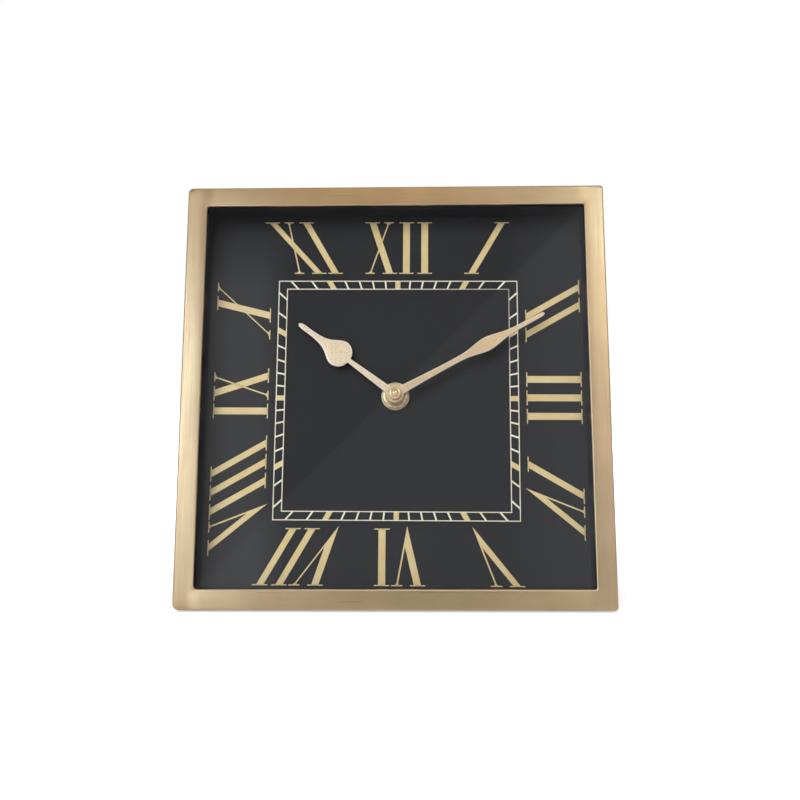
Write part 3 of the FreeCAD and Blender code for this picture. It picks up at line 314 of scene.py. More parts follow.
def scaled(tree, colour, factor):
    # a colour or vector times a number
    return addNode(tree, "ShaderNodeVectorMath", {0: colour, "Scale": factor},
                   operation="SCALE").outputs["Vector"]


def coordinates(tree, scale=(1, 1, 1), turn=(0, 0, 0), source="Object"):
    # object coordinates, or the piece's own map, turned and scaled
    place = addNode(tree, "ShaderNodeTexCoord").outputs[source]
    return addNode(tree, "ShaderNodeMapping",
                   {"Vector": place, "Rotation": turn, "Scale": scale}).outputs["Vector"]


def placeAcross(tree):
    # how far right of the middle a point lies
    return addNode(tree, "ShaderNodeSeparateXYZ", [coordinates(tree)]).outputs["X"]


def attribute(tree, name):
    # a number stored with a piece's points, nought on pieces without it
    return addNode(tree, "ShaderNodeAttribute", attribute_name=name).outputs["Fac"]


def noise(tree, scale, detail=3.0, roughness=0.5, lie=None):
    # cloudy noise of so many patches a metre
    lie = coordinates(tree) if lie is None else lie
    return addNode(tree, "ShaderNodeTexNoise", {
        "Vector": lie, "Scale": scale, "Detail": detail, "Roughness": roughness}).outputs["Fac"]


def spread(tree, value, low=0.0, high=1.0, fromLow=0.3, fromHigh=0.7):
    # a value stretched from one range to another, and held at its ends
    return addNode(tree, "ShaderNodeMapRange", {
        "Value": value, "From Min": fromLow, "From Max": fromHigh, "To Min": low,
        "To Max": high}).outputs["Result"]


def mix(tree, factor, first, second):
    # from the first colour to the second as the factor grows
    node = addNode(tree, "ShaderNodeMix", data_type="RGBA")
    sockets = [socket for socket in node.inputs if socket.type == "RGBA"]
    for socket, value in zip(sockets, (first, second)):
        feed(socket, value if hasattr(value, "is_output") else (*value[:3], 1.0))
    feed(node.inputs["Factor"], factor)
    return [out for out in node.outputs if out.type == "RGBA"][0]


def shade(colour, *shares):
    # the colour times one share, or times one for each of its parts
    shares = shares if len(shares) == 3 else shares * 3
    return tuple(part * share for part, share in zip(colour, shares))


def mottled(tree, value, colour, share):
    # the colour, down to a share of itself where the value is high
    return mix(tree, spread(tree, value), colour, shade(colour, share))


def newFinish(name, colour, metallic=0.0, roughness=0.5, **sockets):
    # a material with one shader, its constant sockets set on the shader
    material = bpy.data.materials.new(name)
    material.use_nodes = True
    shader = material.node_tree.nodes["Principled BSDF"]
    shader.inputs["Base Color"].default_value = (*colour[:3], 1.0)
    shader.inputs["Metallic"].default_value = metallic
    shader.inputs["Roughness"].default_value = roughness
    for socket, amount in sockets.items():
        shader.inputs[socket.replace("_", " ")].default_value = amount
    return material, material.node_tree, shader


def dress(finish, tint, rough=None, height=None, depth=0.0, strength=0.6):
    # colour and roughness go to the shader, and a height makes a bump of the given depth
    material, tree, shader = finish
    feed(shader.inputs["Base Color"], tint)
    if rough:
        feed(shader.inputs["Roughness"], rough)
    if height:
        bump = addNode(tree, "ShaderNodeBump",
                       {"Height": height, "Distance": depth, "Strength": strength})
        feed(shader.inputs["Normal"], bump.outputs["Normal"])
    return material


def choose(material, factor, first, second):
    # the material's surface goes from one shader to the other as the factor grows
    tree = material.node_tree
    node = addNode(tree, "ShaderNodeMixShader", (factor, first, second))
    output = [other for other in tree.nodes if other.type == "OUTPUT_MATERIAL"][0]
    feed(output.inputs["Surface"], node.outputs["Shader"])


brushed = {
    # strokes for each metre along and across them; scale, detail and roughness of the clouds
    "strokes": (26.0, 2600.0),
    "clouds": (34.0, 4.0, 0.55),
    "cloudsTint": (0.0, 0.75, 0.34, 0.66),
    "specks": 900.0,
    # colour of the painted highlight on the opening's edge
    "edgeHighlight": (0.95, 0.84, 0.66),
    "dark": (0.50, 0.355, 0.20),
    "clouded": (0.592, 0.429, 0.2548),
    "light": (0.73, 0.54, 0.337),
    "roughness": (0.27, 0.40),
    "bumpDepth": 0.012 * mm,
    "anisotropy": 0.55,
    "turnZone": (86.5 * mm, 95.0 * mm),
}


def brushedBrass(name):
    # strokes run up the front's side bars, across the others and round the walls by the map
    finish = newFinish(name, brushed["light"], metallic=1.0, roughness=0.33,
                       Anisotropic=brushed["anisotropy"], Anisotropic_Rotation=0.25)
    tree, shader = finish[1:]
    long, dense = brushed["strokes"]
    upright = spread(tree, maths(tree, "ABSOLUTE", placeAcross(tree)), 0.0, 1.0,
                     *brushed["turnZone"])
    front = attribute(tree, "front")
    roundWall, across, up = (
        noise(tree, 1.0, 4.0, 0.6, coordinates(tree, scale, source=source))
        for scale, source in (((long, dense, 1), "UV"), ((long, dense, dense), "Object"),
                              ((dense, long, long), "Object")))
    strokes = mix(tree, front, roundWall, mix(tree, upright, across, up))
    tint = mix(tree, spread(tree, noise(tree, *brushed["clouds"]), *brushed["cloudsTint"]),
               brushed["light"], brushed["clouded"])
    tint = mix(tree, spread(tree, strokes, 0.0, 0.28), tint, brushed["dark"])
    specks = noise(tree, brushed["specks"], 2.0)
    tint = mix(tree, spread(tree, specks, 0.0, 0.3, 0.62, 0.8), tint, brushed["dark"])
    # painted highlight along the opening's edge: a lighter colour and less metal, so the lamps'
    # light shows there
    wear = attribute(tree, "wear")
    tint = mix(tree, wear, tint, brushed["edgeHighlight"])
    feed(shader.inputs["Metallic"], spread(tree, wear, 1.0, 0.25, 0.0, 1.0))
    tangent = addNode(tree, "ShaderNodeTangent", direction_type="UV_MAP").outputs["Tangent"]
    tangent = mix(tree, front, tangent, mix(tree, upright, acrossAxis, upAxis))
    feed(shader.inputs["Tangent"], tangent)
    return dress(finish, tint, spread(tree, strokes, *brushed["roughness"]), strokes,
                 brushed["bumpDepth"], 0.5)


def satinMetal(name, colour, roughness, grain=1800.0, patina=0.12, bump=0.004 * mm, metallic=1.0):
    # plated or lacquered metal with a fine grain, slight clouds and a painted highlight that
    # lightens the rims
    finish = newFinish(name, colour, metallic=metallic, roughness=roughness)
    tree = finish[1]
    fine = noise(tree, grain)
    tint = mottled(tree, noise(tree, 160.0, 4.0), colour, 1 - patina * 2)
    highlightTint = tuple(0.35 * part + 0.65 for part in colour)
    tint = mix(tree, maths(tree, "MULTIPLY", attribute(tree, "wear"), 0.8), tint, highlightTint)
    return dress(finish, tint, spread(tree, fine, roughness * 0.85, roughness * 1.2), fine, bump)


# colour of the painted highlight on turned edges
highlightColour = (1.0, 0.86, 0.62)


def turnedMetal(name, colour, roughness, metallic):
    # rings left by turning, about the hands' axis; edges get a painted highlight, lighter and less
    # metal
    finish = newFinish(name, colour, metallic=metallic, roughness=roughness)
    tree, shader = finish[1:]
    lean = (leanAngle, 0, 0)
    grooves = noise(tree, 5200.0, 2.0, lie=coordinates(tree, (1, 14, 1), lean))
    clouds = noise(tree, 300.0, lie=coordinates(tree, turn=lean))
    wear = attribute(tree, "wear")
    tint = mix(tree, wear, mottled(tree, clouds, colour, 0.8), highlightColour)
    feed(shader.inputs["Metallic"], spread(tree, wear, metallic, 0.3, 0.0, 1.0))
    return dress(finish, tint, spread(tree, grooves, roughness * 0.8, roughness * 1.3), grooves,
                 0.003 * mm)


# scale and detail of two noises, how dark the broad one gets, and the roughness's range, if any
coats = {
    "moulded": {"fine": (2600.0, 2.0), "broad": (70.0, 3.0), "darkest": 0.86,
                "rough": ("broad", 0.9, 1.15), "depth": 0.010 * mm, "strength": 0.7},
    "rubber": {"fine": (3400.0, 3.0), "broad": (3400.0, 3.0), "darkest": 0.7,
               "rough": None, "depth": 0.02 * mm, "strength": 0.8},
    "painted": {"fine": (1260.0, 2.0), "broad": (12.0, 3.0), "darkest": 0.9,
                "rough": ("fine", 0.9, 1.1), "depth": 0.006 * mm, "strength": 0.6},
}


def coat(kind, name, colour, roughness, sheen=0.4, depth=None):
    # fine grain for the bump, broad unevenness for the tint
    finish = newFinish(name, colour, roughness=roughness, Specular_IOR_Level=sheen)
    tree = finish[1]
    own = coats[kind]
    grains = {size: noise(tree, *own[size]) for size in ("fine", "broad")}
    tint = mottled(tree, grains["broad"], colour, own["darkest"])
    rough = None
    if own["rough"]:
        size, low, high = own["rough"]
        rough = spread(tree, grains[size], roughness * low, roughness * high)
    return dress(finish, tint, rough, grains["fine"], own["depth"] if depth is None else depth,
                 own["strength"])


def fibreBoard(name, colour):
    # pressed brown fibres with pale flecks
    finish = newFinish(name, colour, roughness=0.85, Specular_IOR_Level=0.2)
    tree = finish[1]
    fibres = noise(tree, 700.0, 5.0, 0.7, coordinates(tree, (1, 1, 6)))
    flecks = spread(tree, noise(tree, 260.0, 4.0), 0.0, 0.35, 0.5, 0.75)
    tint = mix(tree, flecks, mottled(tree, fibres, colour, 0.55), (0.46, 0.33, 0.20))
    return dress(finish, tint, None, fibres, 0.05 * mm, 0.7)


def woundWire(name, colour):
    # turns of enamelled wire side by side across the coil, with painted shade in the grooves
    # between them
    finish = newFinish(name, colour, metallic=0.9, roughness=0.3, Coat_Weight=0.6,
                       Coat_Roughness=0.12)
    tree = finish[1]
    turns = addNode(tree, "ShaderNodeTexWave",
                    {"Vector": coordinates(tree), "Scale": 1500.0, "Distortion": 0.6},
                    bands_direction="X", wave_profile="SIN").outputs["Fac"]
    return dress(finish, mix(tree, turns, shade(colour, 0.5), colour), None, turns, 0.08 * mm, 0.9)


def paneGlass(name):
    # clear glass that lets lamps through to the dial
    clearest, greenish = (0.985, 0.99, 0.99), (0.97, 0.985, 0.98)
    finish = newFinish(name, greenish, roughness=0.0, Transmission_Weight=1.0, IOR=1.46,
                       Specular_IOR_Level=0.22)
    material, tree, shader = finish
    dress(finish, mix(tree, noise(tree, 40.0, 4.0), greenish, clearest))
    clear = addNode(tree, "ShaderNodeBsdfTransparent", [(0.95, 0.965, 0.96, 1.0)])
    rays = addNode(tree, "ShaderNodeLightPath")
    choose(material, rays.outputs["Is Shadow Ray"], shader.outputs["BSDF"], clear.outputs["BSDF"])
    return material


def goldPrint(name, colour, metallic):
    # metallic ink with a fine grain and uneven cover
    finish = newFinish(name, colour, metallic=metallic, roughness=0.42)
    tree = finish[1]
    grain = noise(tree, 1500.0)
    tint = mix(tree, spread(tree, noise(tree, 90.0)), colour, shade(colour, 0.92, 0.84, 0.74))
    tint = mix(tree, spread(tree, grain, 0.0, 0.35), tint, shade(colour, 0.72))
    return dress(finish, tint, spread(tree, grain, 0.36, 0.5))


boardColour = [item["base_color"] for item in frame["record"]["materials"]
               if item["slot"] == "backing_board"][0]
finishes = {
    "case_brass": brushedBrass("caseBrass"),
    "pad_rubber": coat("rubber", "padRubber", (0.03, 0.03, 0.03), 0.78, 0.35),
    "black_rubber": coat("rubber", "gasketBlack", (0.012, 0.012, 0.013), 0.78, 0.35),
    "clear_glass": paneGlass("paneGlass"),
    "black_walls": coat("painted", "wallBlack", (0.022, 0.023, 0.038), 0.6, 0.15, 0.002 * mm),
    "dial_black": coat("painted", "dialBlack", (0.0240, 0.0237, 0.0272), 0.6, 0.15, 0.0002 * mm),
    "backing_board": fibreBoard("backingBoard", boardColour),
    "zinc_steel": satinMetal("zincSteel", (0.56, 0.57, 0.58), 0.34),
    "cover_black": coat("painted", "coverBlack", (0.018, 0.018, 0.019), 0.5),
    "movement_plastic": coat("moulded", "movementBlack", (0.022, 0.022, 0.023), 0.46, 0.5),
    "turned_brass": turnedMetal("turnedBrass", (0.91, 0.66, 0.37), 0.26, 0.8),
    "hand_brass": satinMetal("handBrass", (1.0, 0.805, 0.575), 0.30, patina=0.04,
                             bump=0.001 * mm, metallic=0.35),
    "white_plastic": coat("moulded", "whitePlastic", (0.78, 0.78, 0.74), 0.4, 0.5),
    "knob_plastic": coat("moulded", "knobPlastic", (0.62, 0.62, 0.60), 0.4, 0.5),
    "magnet_grey": satinMetal("magnetGrey", (0.20, 0.20, 0.21), 0.55, 2600.0),
    "stator_steel": satinMetal("statorSteel", (0.50, 0.51, 0.53), 0.38),
    "copper_wire": woundWire("copperWire", (0.72, 0.33, 0.16)),
    "board_green": coat("painted", "boardGreen", (0.03, 0.16, 0.07), 0.3, 0.5),
    "battery_sleeve": coat("painted", "batterySleeve", (0.035, 0.045, 0.065), 0.25, 0.6),
}
for item in frame["record"]["subparts"]:
    materials = cadNodes[item["node"]].data.materials
    materials.clear()
    materials.append(finishes[item["material_slot"]])
print("finishes ready:", len(finishes))


# The case, one closed skin: a profile across the wall carried round the front.

case = {
    **inMetres(bar=9.3, wall=1.2, flange=1.5, corner=2.75, openingCorner=1.5, hiddenCorner=2.0,
               frontRound=0.8, openingRound=0.5, crown=0.09, near=0.05),
    "arcSteps": 6, "frontSteps": 8, "cornerSteps": 12, "sideSteps": 40,
    "wallShares": (0.0, 0.33, 0.66, 1.0),
    # strength of the painted highlight on the opening's edge, and how much more of it the lower and
    # right sides get, which face the light
    "wear": 0.28, "wearShift": 0.7,
    # the corners are not all polished alike: lower right, upper right, upper left, lower left
    "cornerShares": (0.6, 0.55, 0.9, 1.1),
}


def squareLoop(half, radius):
    # a rounded square, each side's even steps and then its corner's arc
    points = []
    radii = radius * np.array(case["cornerShares"])
    for quarter in range(4):
        own, straight = radii[quarter], half - radii[quarter]
        along = np.linspace(radii[quarter - 1] - half, straight, case["sideSteps"], endpoint=False)
        side = np.stack([along, np.full_like(along, -half)], -1)
        angle = np.linspace(-pi / 2, 0, case["cornerSteps"] + 1)[:-1]
        arc = np.stack([straight + own * np.cos(angle), -straight + own * np.sin(angle)], -1)
        points.append(turned(np.concatenate([side, arc]), -quarter * pi / 2))
    return np.concatenate(points)


def caseStations(half, opening):
    # size, corner radius and depth of each ring along the wall's profile, from inside the
    # opening round the front to the rear edge and back; on the walls a share of the way
    # to the rear stands for the depth
    openingRound, frontRound, flange = case["openingRound"], case["frontRound"], case["flange"]
    inner, outer = case["openingCorner"], case["corner"]
    arc = np.linspace(0, pi / 2, case["arcSteps"] + 1)
    stations = [(opening, inner, flange, None)]
    for turn in arc:
        reach = openingRound * (1 - cos(turn))
        stations.append((opening + reach, inner + reach, openingRound * (1 - sin(turn)), None))
    flat = half - frontRound - opening - openingRound
    for share in np.linspace(0, 1, case["frontSteps"] + 1)[1:-1]:
        stations.append((opening + openingRound + flat * share, inner + (outer - inner) * share,
                         0.0, None))
    for turn in arc:
        reach = frontRound * (1 - sin(turn))
        stations.append((half - reach, outer - reach, frontRound * (1 - cos(turn)), None))
    wall = case["wall"]
    stations += [(half, outer, None, share) for share in case["wallShares"]]
    stations.append((half - wall / 2, outer - wall / 2, None, 1.0))
    stations += [(half - wall, outer - wall, None, share) for share in case["wallShares"][::-1]]
    stations.append((half - wall, outer - wall, flange, None))
    stations.append(((half + opening) / 2, case["hiddenCorner"], flange, None))
    return stations


def makeCase():
    # rings follow the leaning front at first, and the rear edge's own slope at last
    high = span("case_shell")[1]
    half = high[0]
    opening = half - case["bar"]
    centreHeight = high[2] - half
    # rear edge of the base and of the top, from the solid's own reach
    points = facePoints("case_shell")
    topDepth = points[np.abs(points[:, 2] - high[2]) < case["near"]][:, 1].max()
    baseDepth = high[1]
    baseHeight = points[points[:, 1] > baseDepth - case["near"]][:, 2].min() - centreHeight
    middle = (opening + half) / 2
    stations = caseStations(half, opening)
    rows = []
    for size, radius, depth, share in stations:
        loop = squareLoop(size, radius)
        across, height = loop[:, 0], loop[:, 1]
        fraction = (height + half) / (2 * half)
        if share is None:
            # the base rises to the rear, so the front part follows it too
            lift = depth * tan(leanAngle) * (1 - fraction)
            # the front bars are crowned a little towards their middle line
            offset = (size - middle) / (half - middle)
            sag = case["crown"] * offset ** 2 if depth < case["frontRound"] else 0.0
            deep, risen = np.full_like(across, depth + sag), height + lift
        else:
            rearDepth = baseDepth + (topDepth - baseDepth) * fraction
            rearHeight = baseHeight + (half - baseHeight) * fraction
            begin = case["frontRound"] if size == half else case["flange"]
            deep = begin + (rearDepth - begin) * share
            risen = height + (rearHeight - height) * (deep / rearDepth)
        rows.append(np.stack([across, deep, risen + centreHeight], -1))
    grid = np.array(rows)
    count, length = grid.shape[:2]
    points, faces = skin(grid)
    corners = points[np.array(faces)]
    # on the front the map is flat
    uv = corners[:, :, [0, 2]].copy()
    # on the walls its first direction runs round the loop and the second into the depth
    flat = grid[count // 2][:, [0, 2]]
    around = np.cumsum(np.linalg.norm(np.diff(flat, axis=0, append=flat[:1]), axis=-1))
    column = np.tile(np.arange(length), count)
    end = around[column]
    start = end - (end - around[column - 1]) * (column > 0)
    onWall = corners[:, :, 1].mean(axis=1) >= case["frontRound"] + case["crown"]
    wallUv = np.stack([np.stack([start, end, end, start], -1), corners[:, :, 1]], -1)
    uv[onWall] = wallUv[onWall]
    # a painted highlight lies on the opening's rounded edge, most of it on the lower and right
    # sides, whose rounds face the light
    sizes = np.array([size for size, *_ in stations])
    depths = np.array([baseDepth if depth is None else depth for _, _, depth, _ in stations])
    edgeRow = ((sizes < opening + case["openingRound"] * 0.9)
               & (depths < case["openingRound"] * 0.5))
    litSideShare = 1 + np.clip((grid[..., 0] - grid[..., 2] + centreHeight) / opening,
                            -case["wearShift"], case["wearShift"])
    frontRow = depths < case["frontRound"] / 2
    piece = newPiece("case", [(points, faces)], finishes["case_brass"], "clock_case",
                     "case_brass", ("case_shell",), merged=False, uv=uv,
                     wear=edgeRow[:, None] * case["wear"] * litSideShare,
                     front=np.repeat(frontRow, length))
    evenNormals(piece)
    print("case:", len(piece.data.polygons), "faces")


makeCase()


# The dial's print: a square minute track and twelve leaning numerals.

dialFront = span("dial_plate")[0][1]
printed = {
    **inMetres(
        thickness=0.05, shift=(0.8, -0.9), trackInner=54.35, trackOuter=58.42, trackLine=0.44,
        tickWidth=0.78, hourTickWidth=2.5, numeralInner=62.2, numeralOuter=88.8, bar=3.35,
        hairline=0.68, serif=0.52, wideSerif=7.15, narrowSerif=4.6, flare=1.5,
        # X: the thick stroke's foot, the hairline's top and foot, and its half width at the ends
        crossPlaces=(8.75, 9.4, 0.3), crossFlare=1.25,
        # V: its tip, and the thin arm's place, serif, half width and half width at the end
        vertex=61.1, vertexPlace=8.6, thinArmPlace=10.7, thinArmSerif=5.3, thinArmHalf=0.374,
        thinArmFlare=1.1,
        # from the start of a wide letter to the next one
        afterWide=16.85),
    # from the start of an I to the next letter
    "afterI": {"I": 9.0 * mm, "V": 7.45 * mm, "X": 8.6 * mm, " ": 0.0},
    "turn": radians(0.35),
    "sharp": radians(10),
}
ink = goldPrint("goldInk", (0.90, 0.72, 0.385), 0.3)
paleInk = goldPrint("paleGoldInk", (0.97, 0.92, 0.76), 0.08)
# where each numeral starts along its side, in millimetres from the hour's own line
numeralStarts = {
    12: ("XII", -16.3), 1: ("I", -3.4), 2: ("II", -7.9), 3: ("III", -13.0),
    4: ("IV", -8.1), 5: ("V", -9.1), 6: ("VI", -13.8), 7: ("VII", -16.9),
    8: ("VIII", -24.2), 9: ("IX", -10.0), 10: ("X", -7.4), 11: ("XI", -15.1),
}


def slab(outline):
    # an outline as thick as the ink; the print lies a little off the arbor and is turned
    near = dialFront - printed["thickness"]
    return prism(turned(outline, printed["turn"]) + printed["shift"], near,
                 near + printed["thickness"] * 0.98)


def sidePoints(hour, outline):
    # places along a side of the dial, sheared so that strokes lean with the hour
    lean = radians(30 * ((hour + 1) % 3 - 1))
    along, out = np.array(outline).T
    return turned(np.stack([along + out * tan(lean), out], -1), (hour + 1) % 12 // 3 * pi / 2)


def stroke(bottom, top, width, flare=0.0):
    # a bar from the inner line to the outer one, which may widen at its ends
    low, high = printed["numeralInner"], printed["numeralOuter"]
    half = width / 2
    if not flare:
        return [(bottom - half, low), (top - half, high), (top + half, high), (bottom + half, low)]
    rise, foot = printed["flare"], printed["serif"] / 2
    shift = (top - bottom) / (high - low) * rise
    return [(bottom - flare, low + foot), (bottom + shift - half, low + rise),
            (top - shift - half, high - rise), (top - flare, high - foot),
            (top + flare, high - foot), (top - shift + half, high - rise),
            (bottom + shift + half, low + rise), (bottom + flare, low + foot)]


def serif(start, width, atTop):
    # a thin bar along the outer or the inner line
    low = printed["numeralOuter"] - printed["serif"] if atTop else printed["numeralInner"]
    high = low + printed["serif"]
    return [(start, low), (start, high), (start + width, high), (start + width, low)]


def glyphI(start):
    # one bar between two serifs
    wide = printed["wideSerif"]
    middle = start + wide / 2
    return [stroke(middle, middle, printed["bar"]), serif(start, wide, True),
            serif(start, wide, False)]


def glyphX(start):
    # a thick stroke crossed by a hairline, with a serif at each end
    wide, narrow = printed["wideSerif"], printed["narrowSerif"]
    thickIn, thinOut, thinIn = (start + place for place in printed["crossPlaces"])
    return [stroke(thickIn + wide / 2, start + wide / 2, printed["bar"]),
            stroke(thinIn + narrow / 2, thinOut + narrow / 2, printed["hairline"],
                   printed["crossFlare"]),
            serif(start, wide, True), serif(thickIn, wide, False),
            serif(thinOut, narrow, True), serif(thinIn, narrow, False)]


def glyphV(start, mirrored):
    # both arms share a long point: each outer edge runs straight to it
    wide, narrow = printed["wideSerif"], printed["thinArmSerif"]
    high, vertex = printed["numeralOuter"], printed["vertex"]
    tip = start + printed["vertexPlace"]
    left = start + (wide - printed["bar"]) / 2
    right = left + printed["bar"]
    thinMiddle = start + printed["thinArmPlace"] + narrow / 2
    thinOuter, thinInner = (thinMiddle + half
                            for half in (printed["thinArmHalf"], -printed["thinArmHalf"]))
    reach = high - vertex
    thickSlope, thinSlope = (tip - left) / reach, (tip - thinOuter) / reach
    # the inner edges meet where the gap between them has closed
    closing = (thinInner - right) / (thickSlope - thinSlope)
    crotch = (right + thickSlope * closing, high - closing)
    body = [(left, high), (right, high), crotch, (thinInner, high), (thinOuter, high),
            (tip, vertex)]
    foot, rise, half = printed["serif"] / 2, printed["flare"], printed["thinArmFlare"]
    flare = [(thinMiddle - half, high - foot), (thinMiddle + half, high - foot),
             (thinOuter + thinSlope * rise, high - rise),
             (thinInner + thinSlope * rise, high - rise)]
    parts = [body, flare, serif(start, wide, True), serif(thinMiddle - narrow / 2, narrow, True)]
    if mirrored:
        end = start + printed["afterWide"]
        parts = [[(start + end - x, y) for x, y in part][::-1] for part in parts]
    return parts


def printPiece(name, parts, finish):
    # printing that rides with the case and stands for no solid
    newPiece(name, parts, finish, "clock_case", "dial_black", sharpAngle=printed["sharp"])


def makeNumerals():
    # letter after letter along the hour's side; only the four has its V mirrored
    parts = []
    for hour, (text, start) in numeralStarts.items():
        place = start * mm
        for letter, following in zip(text, text[1:] + " "):
            if letter == "I":
                outlines, step = glyphI(place), printed["afterI"][following]
            elif letter == "X":
                outlines, step = glyphX(place), printed["afterWide"]
            else:
                outlines, step = glyphV(place, text == "IV"), printed["afterWide"]
            parts += [slab(sidePoints(hour, outline)) for outline in outlines]
            place += step
    printPiece("dial_numerals", parts, ink)


def makeTrack():
    # two square lines, and between them a mark every six degrees
    hourMarks, rest = [], []
    inner, outer, line = printed["trackInner"], printed["trackOuter"], printed["trackLine"]
    for half in (inner, outer):
        near, far = half - line / 2, half + line / 2
        outline = np.array([(line - far, near), (-far, far), (far, far), (far - line, near)])
        rest += [slab(turned(outline, -side * pi / 2)) for side in range(4)]
    for minute in range(60):
        angle = radians(6 * minute)
        direction = np.array([sin(angle), cos(angle)])
        normal = np.array([cos(angle), -sin(angle)])
        reach = max(abs(direction))
        low, high = (direction * far / reach for far in (inner + line / 2, outer - line / 2))
        # the ends are cut along the track's lines
        along = np.array([0.0, 1.0] if abs(direction[0]) > abs(direction[1]) else [1.0, 0.0])
        hourly = minute % 5 == 0
        width = printed["hourTickWidth"] if hourly else printed["tickWidth"]
        stretch = along * width / 2 / abs(normal @ along)
        mark = slab(np.array([low - stretch, high - stretch, high + stretch, low + stretch]))
        (hourMarks if hourly else rest).append(mark)
    printPiece("minute_track", rest, paleInk)
    printPiece("hour_marks", hourMarks, ink)


makeNumerals()
makeTrack()
print("dial print ready")


# Hands: domed blades on turned hubs. Stations are distance from the axis and half width,
# in millimetres.

hourHand = {
    "bearing": 306.9, "node": "hour_hand", "body": "hour_hand_set", "bore": 2.57 * mm,
    "stations": (
        (0.0, 1.85), (8.0, 1.62), (16.0, 1.42), (22.0, 1.24), (25.0, 1.14), (26.05, 1.2),
        (26.35, 2.2), (27.2, 3.9), (28.6, 5.3), (30.4, 6.25), (32.4, 6.6), (34.3, 6.3),
        (36.0, 5.5), (37.7, 4.45), (39.4, 3.45), (41.2, 2.6), (43.2, 2.0), (46.0, 1.55),
        (50.0, 1.3), (56.0, 1.18), (57.2, 1.0), (57.95, 0.6), (58.3, 0.05)),
}
minuteHand = {
    "bearing": 61.5, "node": "minute_hand", "body": "minute_hand_set", "bore": 1.77 * mm,
    "stations": (
        (0.0, 2.15), (8.0, 1.8), (18.0, 1.5), (28.0, 1.32), (33.0, 1.34), (37.0, 1.52),
        (40.5, 2.0), (43.5, 2.6), (46.2, 3.12), (48.5, 3.36), (50.5, 3.3), (53.5, 2.85),
        (56.5, 2.25), (59.5, 1.7), (62.5, 1.35), (66.0, 1.18), (72.0, 1.08), (78.5, 0.98),
        (80.2, 0.88), (81.0, 0.55), (81.3, 0.05)),
}
blade = {
    **inMetres(thickness=0.8, edge=0.34, crown=0.22, crownFrom=3.0, least=0.02, clear=0.3,
               rim=0.42),
    "rows": 150, "columns": 17, "sharp": radians(38),
}
# hub radius and rounds; the width of its rim and the strength of the painted highlight there
hub = {**inMetres(radius=4.3, rounds=(0.08, 0.3, 0.12, 0.05), rim=0.5), "wear": 0.25}


def smoothStations(stations, rows):
    # a curve through the stations, denser where the outline turns
    stations = np.array(stations) * mm
    place, half = stations[:, 0], stations[:, 1]
    steps = np.concatenate([[0.0], np.cumsum(np.hypot(np.diff(place), np.diff(half)))])
    wanted = np.linspace(0, steps[-1], rows)
    index = np.clip(np.searchsorted(steps, wanted, side="right") - 1, 0, len(steps) - 2)
    width = steps[index + 1] - steps[index]
    share = (wanted - steps[index]) / width

    def through(values):
        # a cubic between two stations, from their values and slopes
        slopes = np.gradient(values, steps)
        first = (1 + 2 * share) * (1 - share) ** 2 * values[index]
        second = share * (1 - share) ** 2 * width * slopes[index]
        third = share ** 2 * (3 - 2 * share) * values[index + 1]
        fourth = share ** 2 * (share - 1) * width * slopes[index + 1]
        return first + second + third + fourth

    return through(place), np.maximum(through(half), blade["least"])


def roundedRing(front, back, bore, radius, rounds, steps=5):
    # a ring about the hands' axis with rounded edges
    corners = ((front, bore), (front, radius), (back, radius), (back, bore))
    return turnedPart(roundedProfile(corners, rounds, steps), 128)


def makeHand(name, hand, material):
    # the blade's front and back make a ring at each station
    low, high = span(hand["node"])
    bladeFront = low[1] + (high[1] - low[1] - blade["thickness"]) / 2
    place, half = smoothStations(hand["stations"], blade["rows"])
    # the blade starts beyond the bore, inside the hub
    start, length = hand["bore"] + blade["clear"], hand["stations"][-1][0] * mm
    place = start + place * (length - start) / length
    # across each station the face is nearly flat, slightly crowned, and falls off at the edge
    half, across = half[:, None], np.sin(np.linspace(-pi / 2, pi / 2, blade["columns"]))
    crown = blade["crown"] * np.minimum(half / blade["crownFrom"], 1.0)
    edge = np.minimum(blade["edge"], half * 0.45)
    distance = (1 - np.abs(across)) * half
    fall = np.clip(1 - distance / edge, 0, 1)
    roundOff = 1 - np.sqrt(np.clip(1 - fall ** 2, 0, 1))
    depth = bladeFront + roundOff * edge * 0.8 + crown * across ** 2 * 0.6
    front = np.stack([across * half, depth, np.broadcast_to(place[:, None], depth.shape)], -1)
    back = front.copy()
    back[..., 1] = bladeFront + blade["thickness"]
    hubShape = roundedRing(low[1], high[1], hand["bore"], hub["radius"], hub["rounds"], 6)
    # painted highlight on the rims: the outer columns of the blade's face and the hub's rounded
    # edge
    rim = np.clip(1.6 - distance / blade["rim"], 0, 1)
    radius = np.hypot(hubShape[0][:, 0], hubShape[0][:, 2])
    hubHighlight = np.clip(1.4 - (hub["radius"] - radius) / hub["rim"], 0, 1) * hub["wear"]
    wear = np.concatenate([np.concatenate([rim, rim[:, ::-1]], axis=1).ravel(), hubHighlight])
    points, faces = joinParts([skin(np.concatenate([front, back[:, ::-1]], axis=1), False),
                               hubShape])
    points[:, [0, 2]] = turned(points[:, [0, 2]], radians(hand["bearing"]))
    newPiece(name, [(points, faces)], material, hand["body"], "hand_brass", (hand["node"],),
             sharpAngle=blade["sharp"], wear=wear)


makeHand("hourHand", hourHand, finishes["hand_brass"])
makeHand("minuteHand", minuteHand,
         satinMetal("warmHandBrass", (0.88, 0.63, 0.385), 0.30, bump=0.0005 * mm, patina=0.05,
                    metallic=0.4))
print("hands ready")
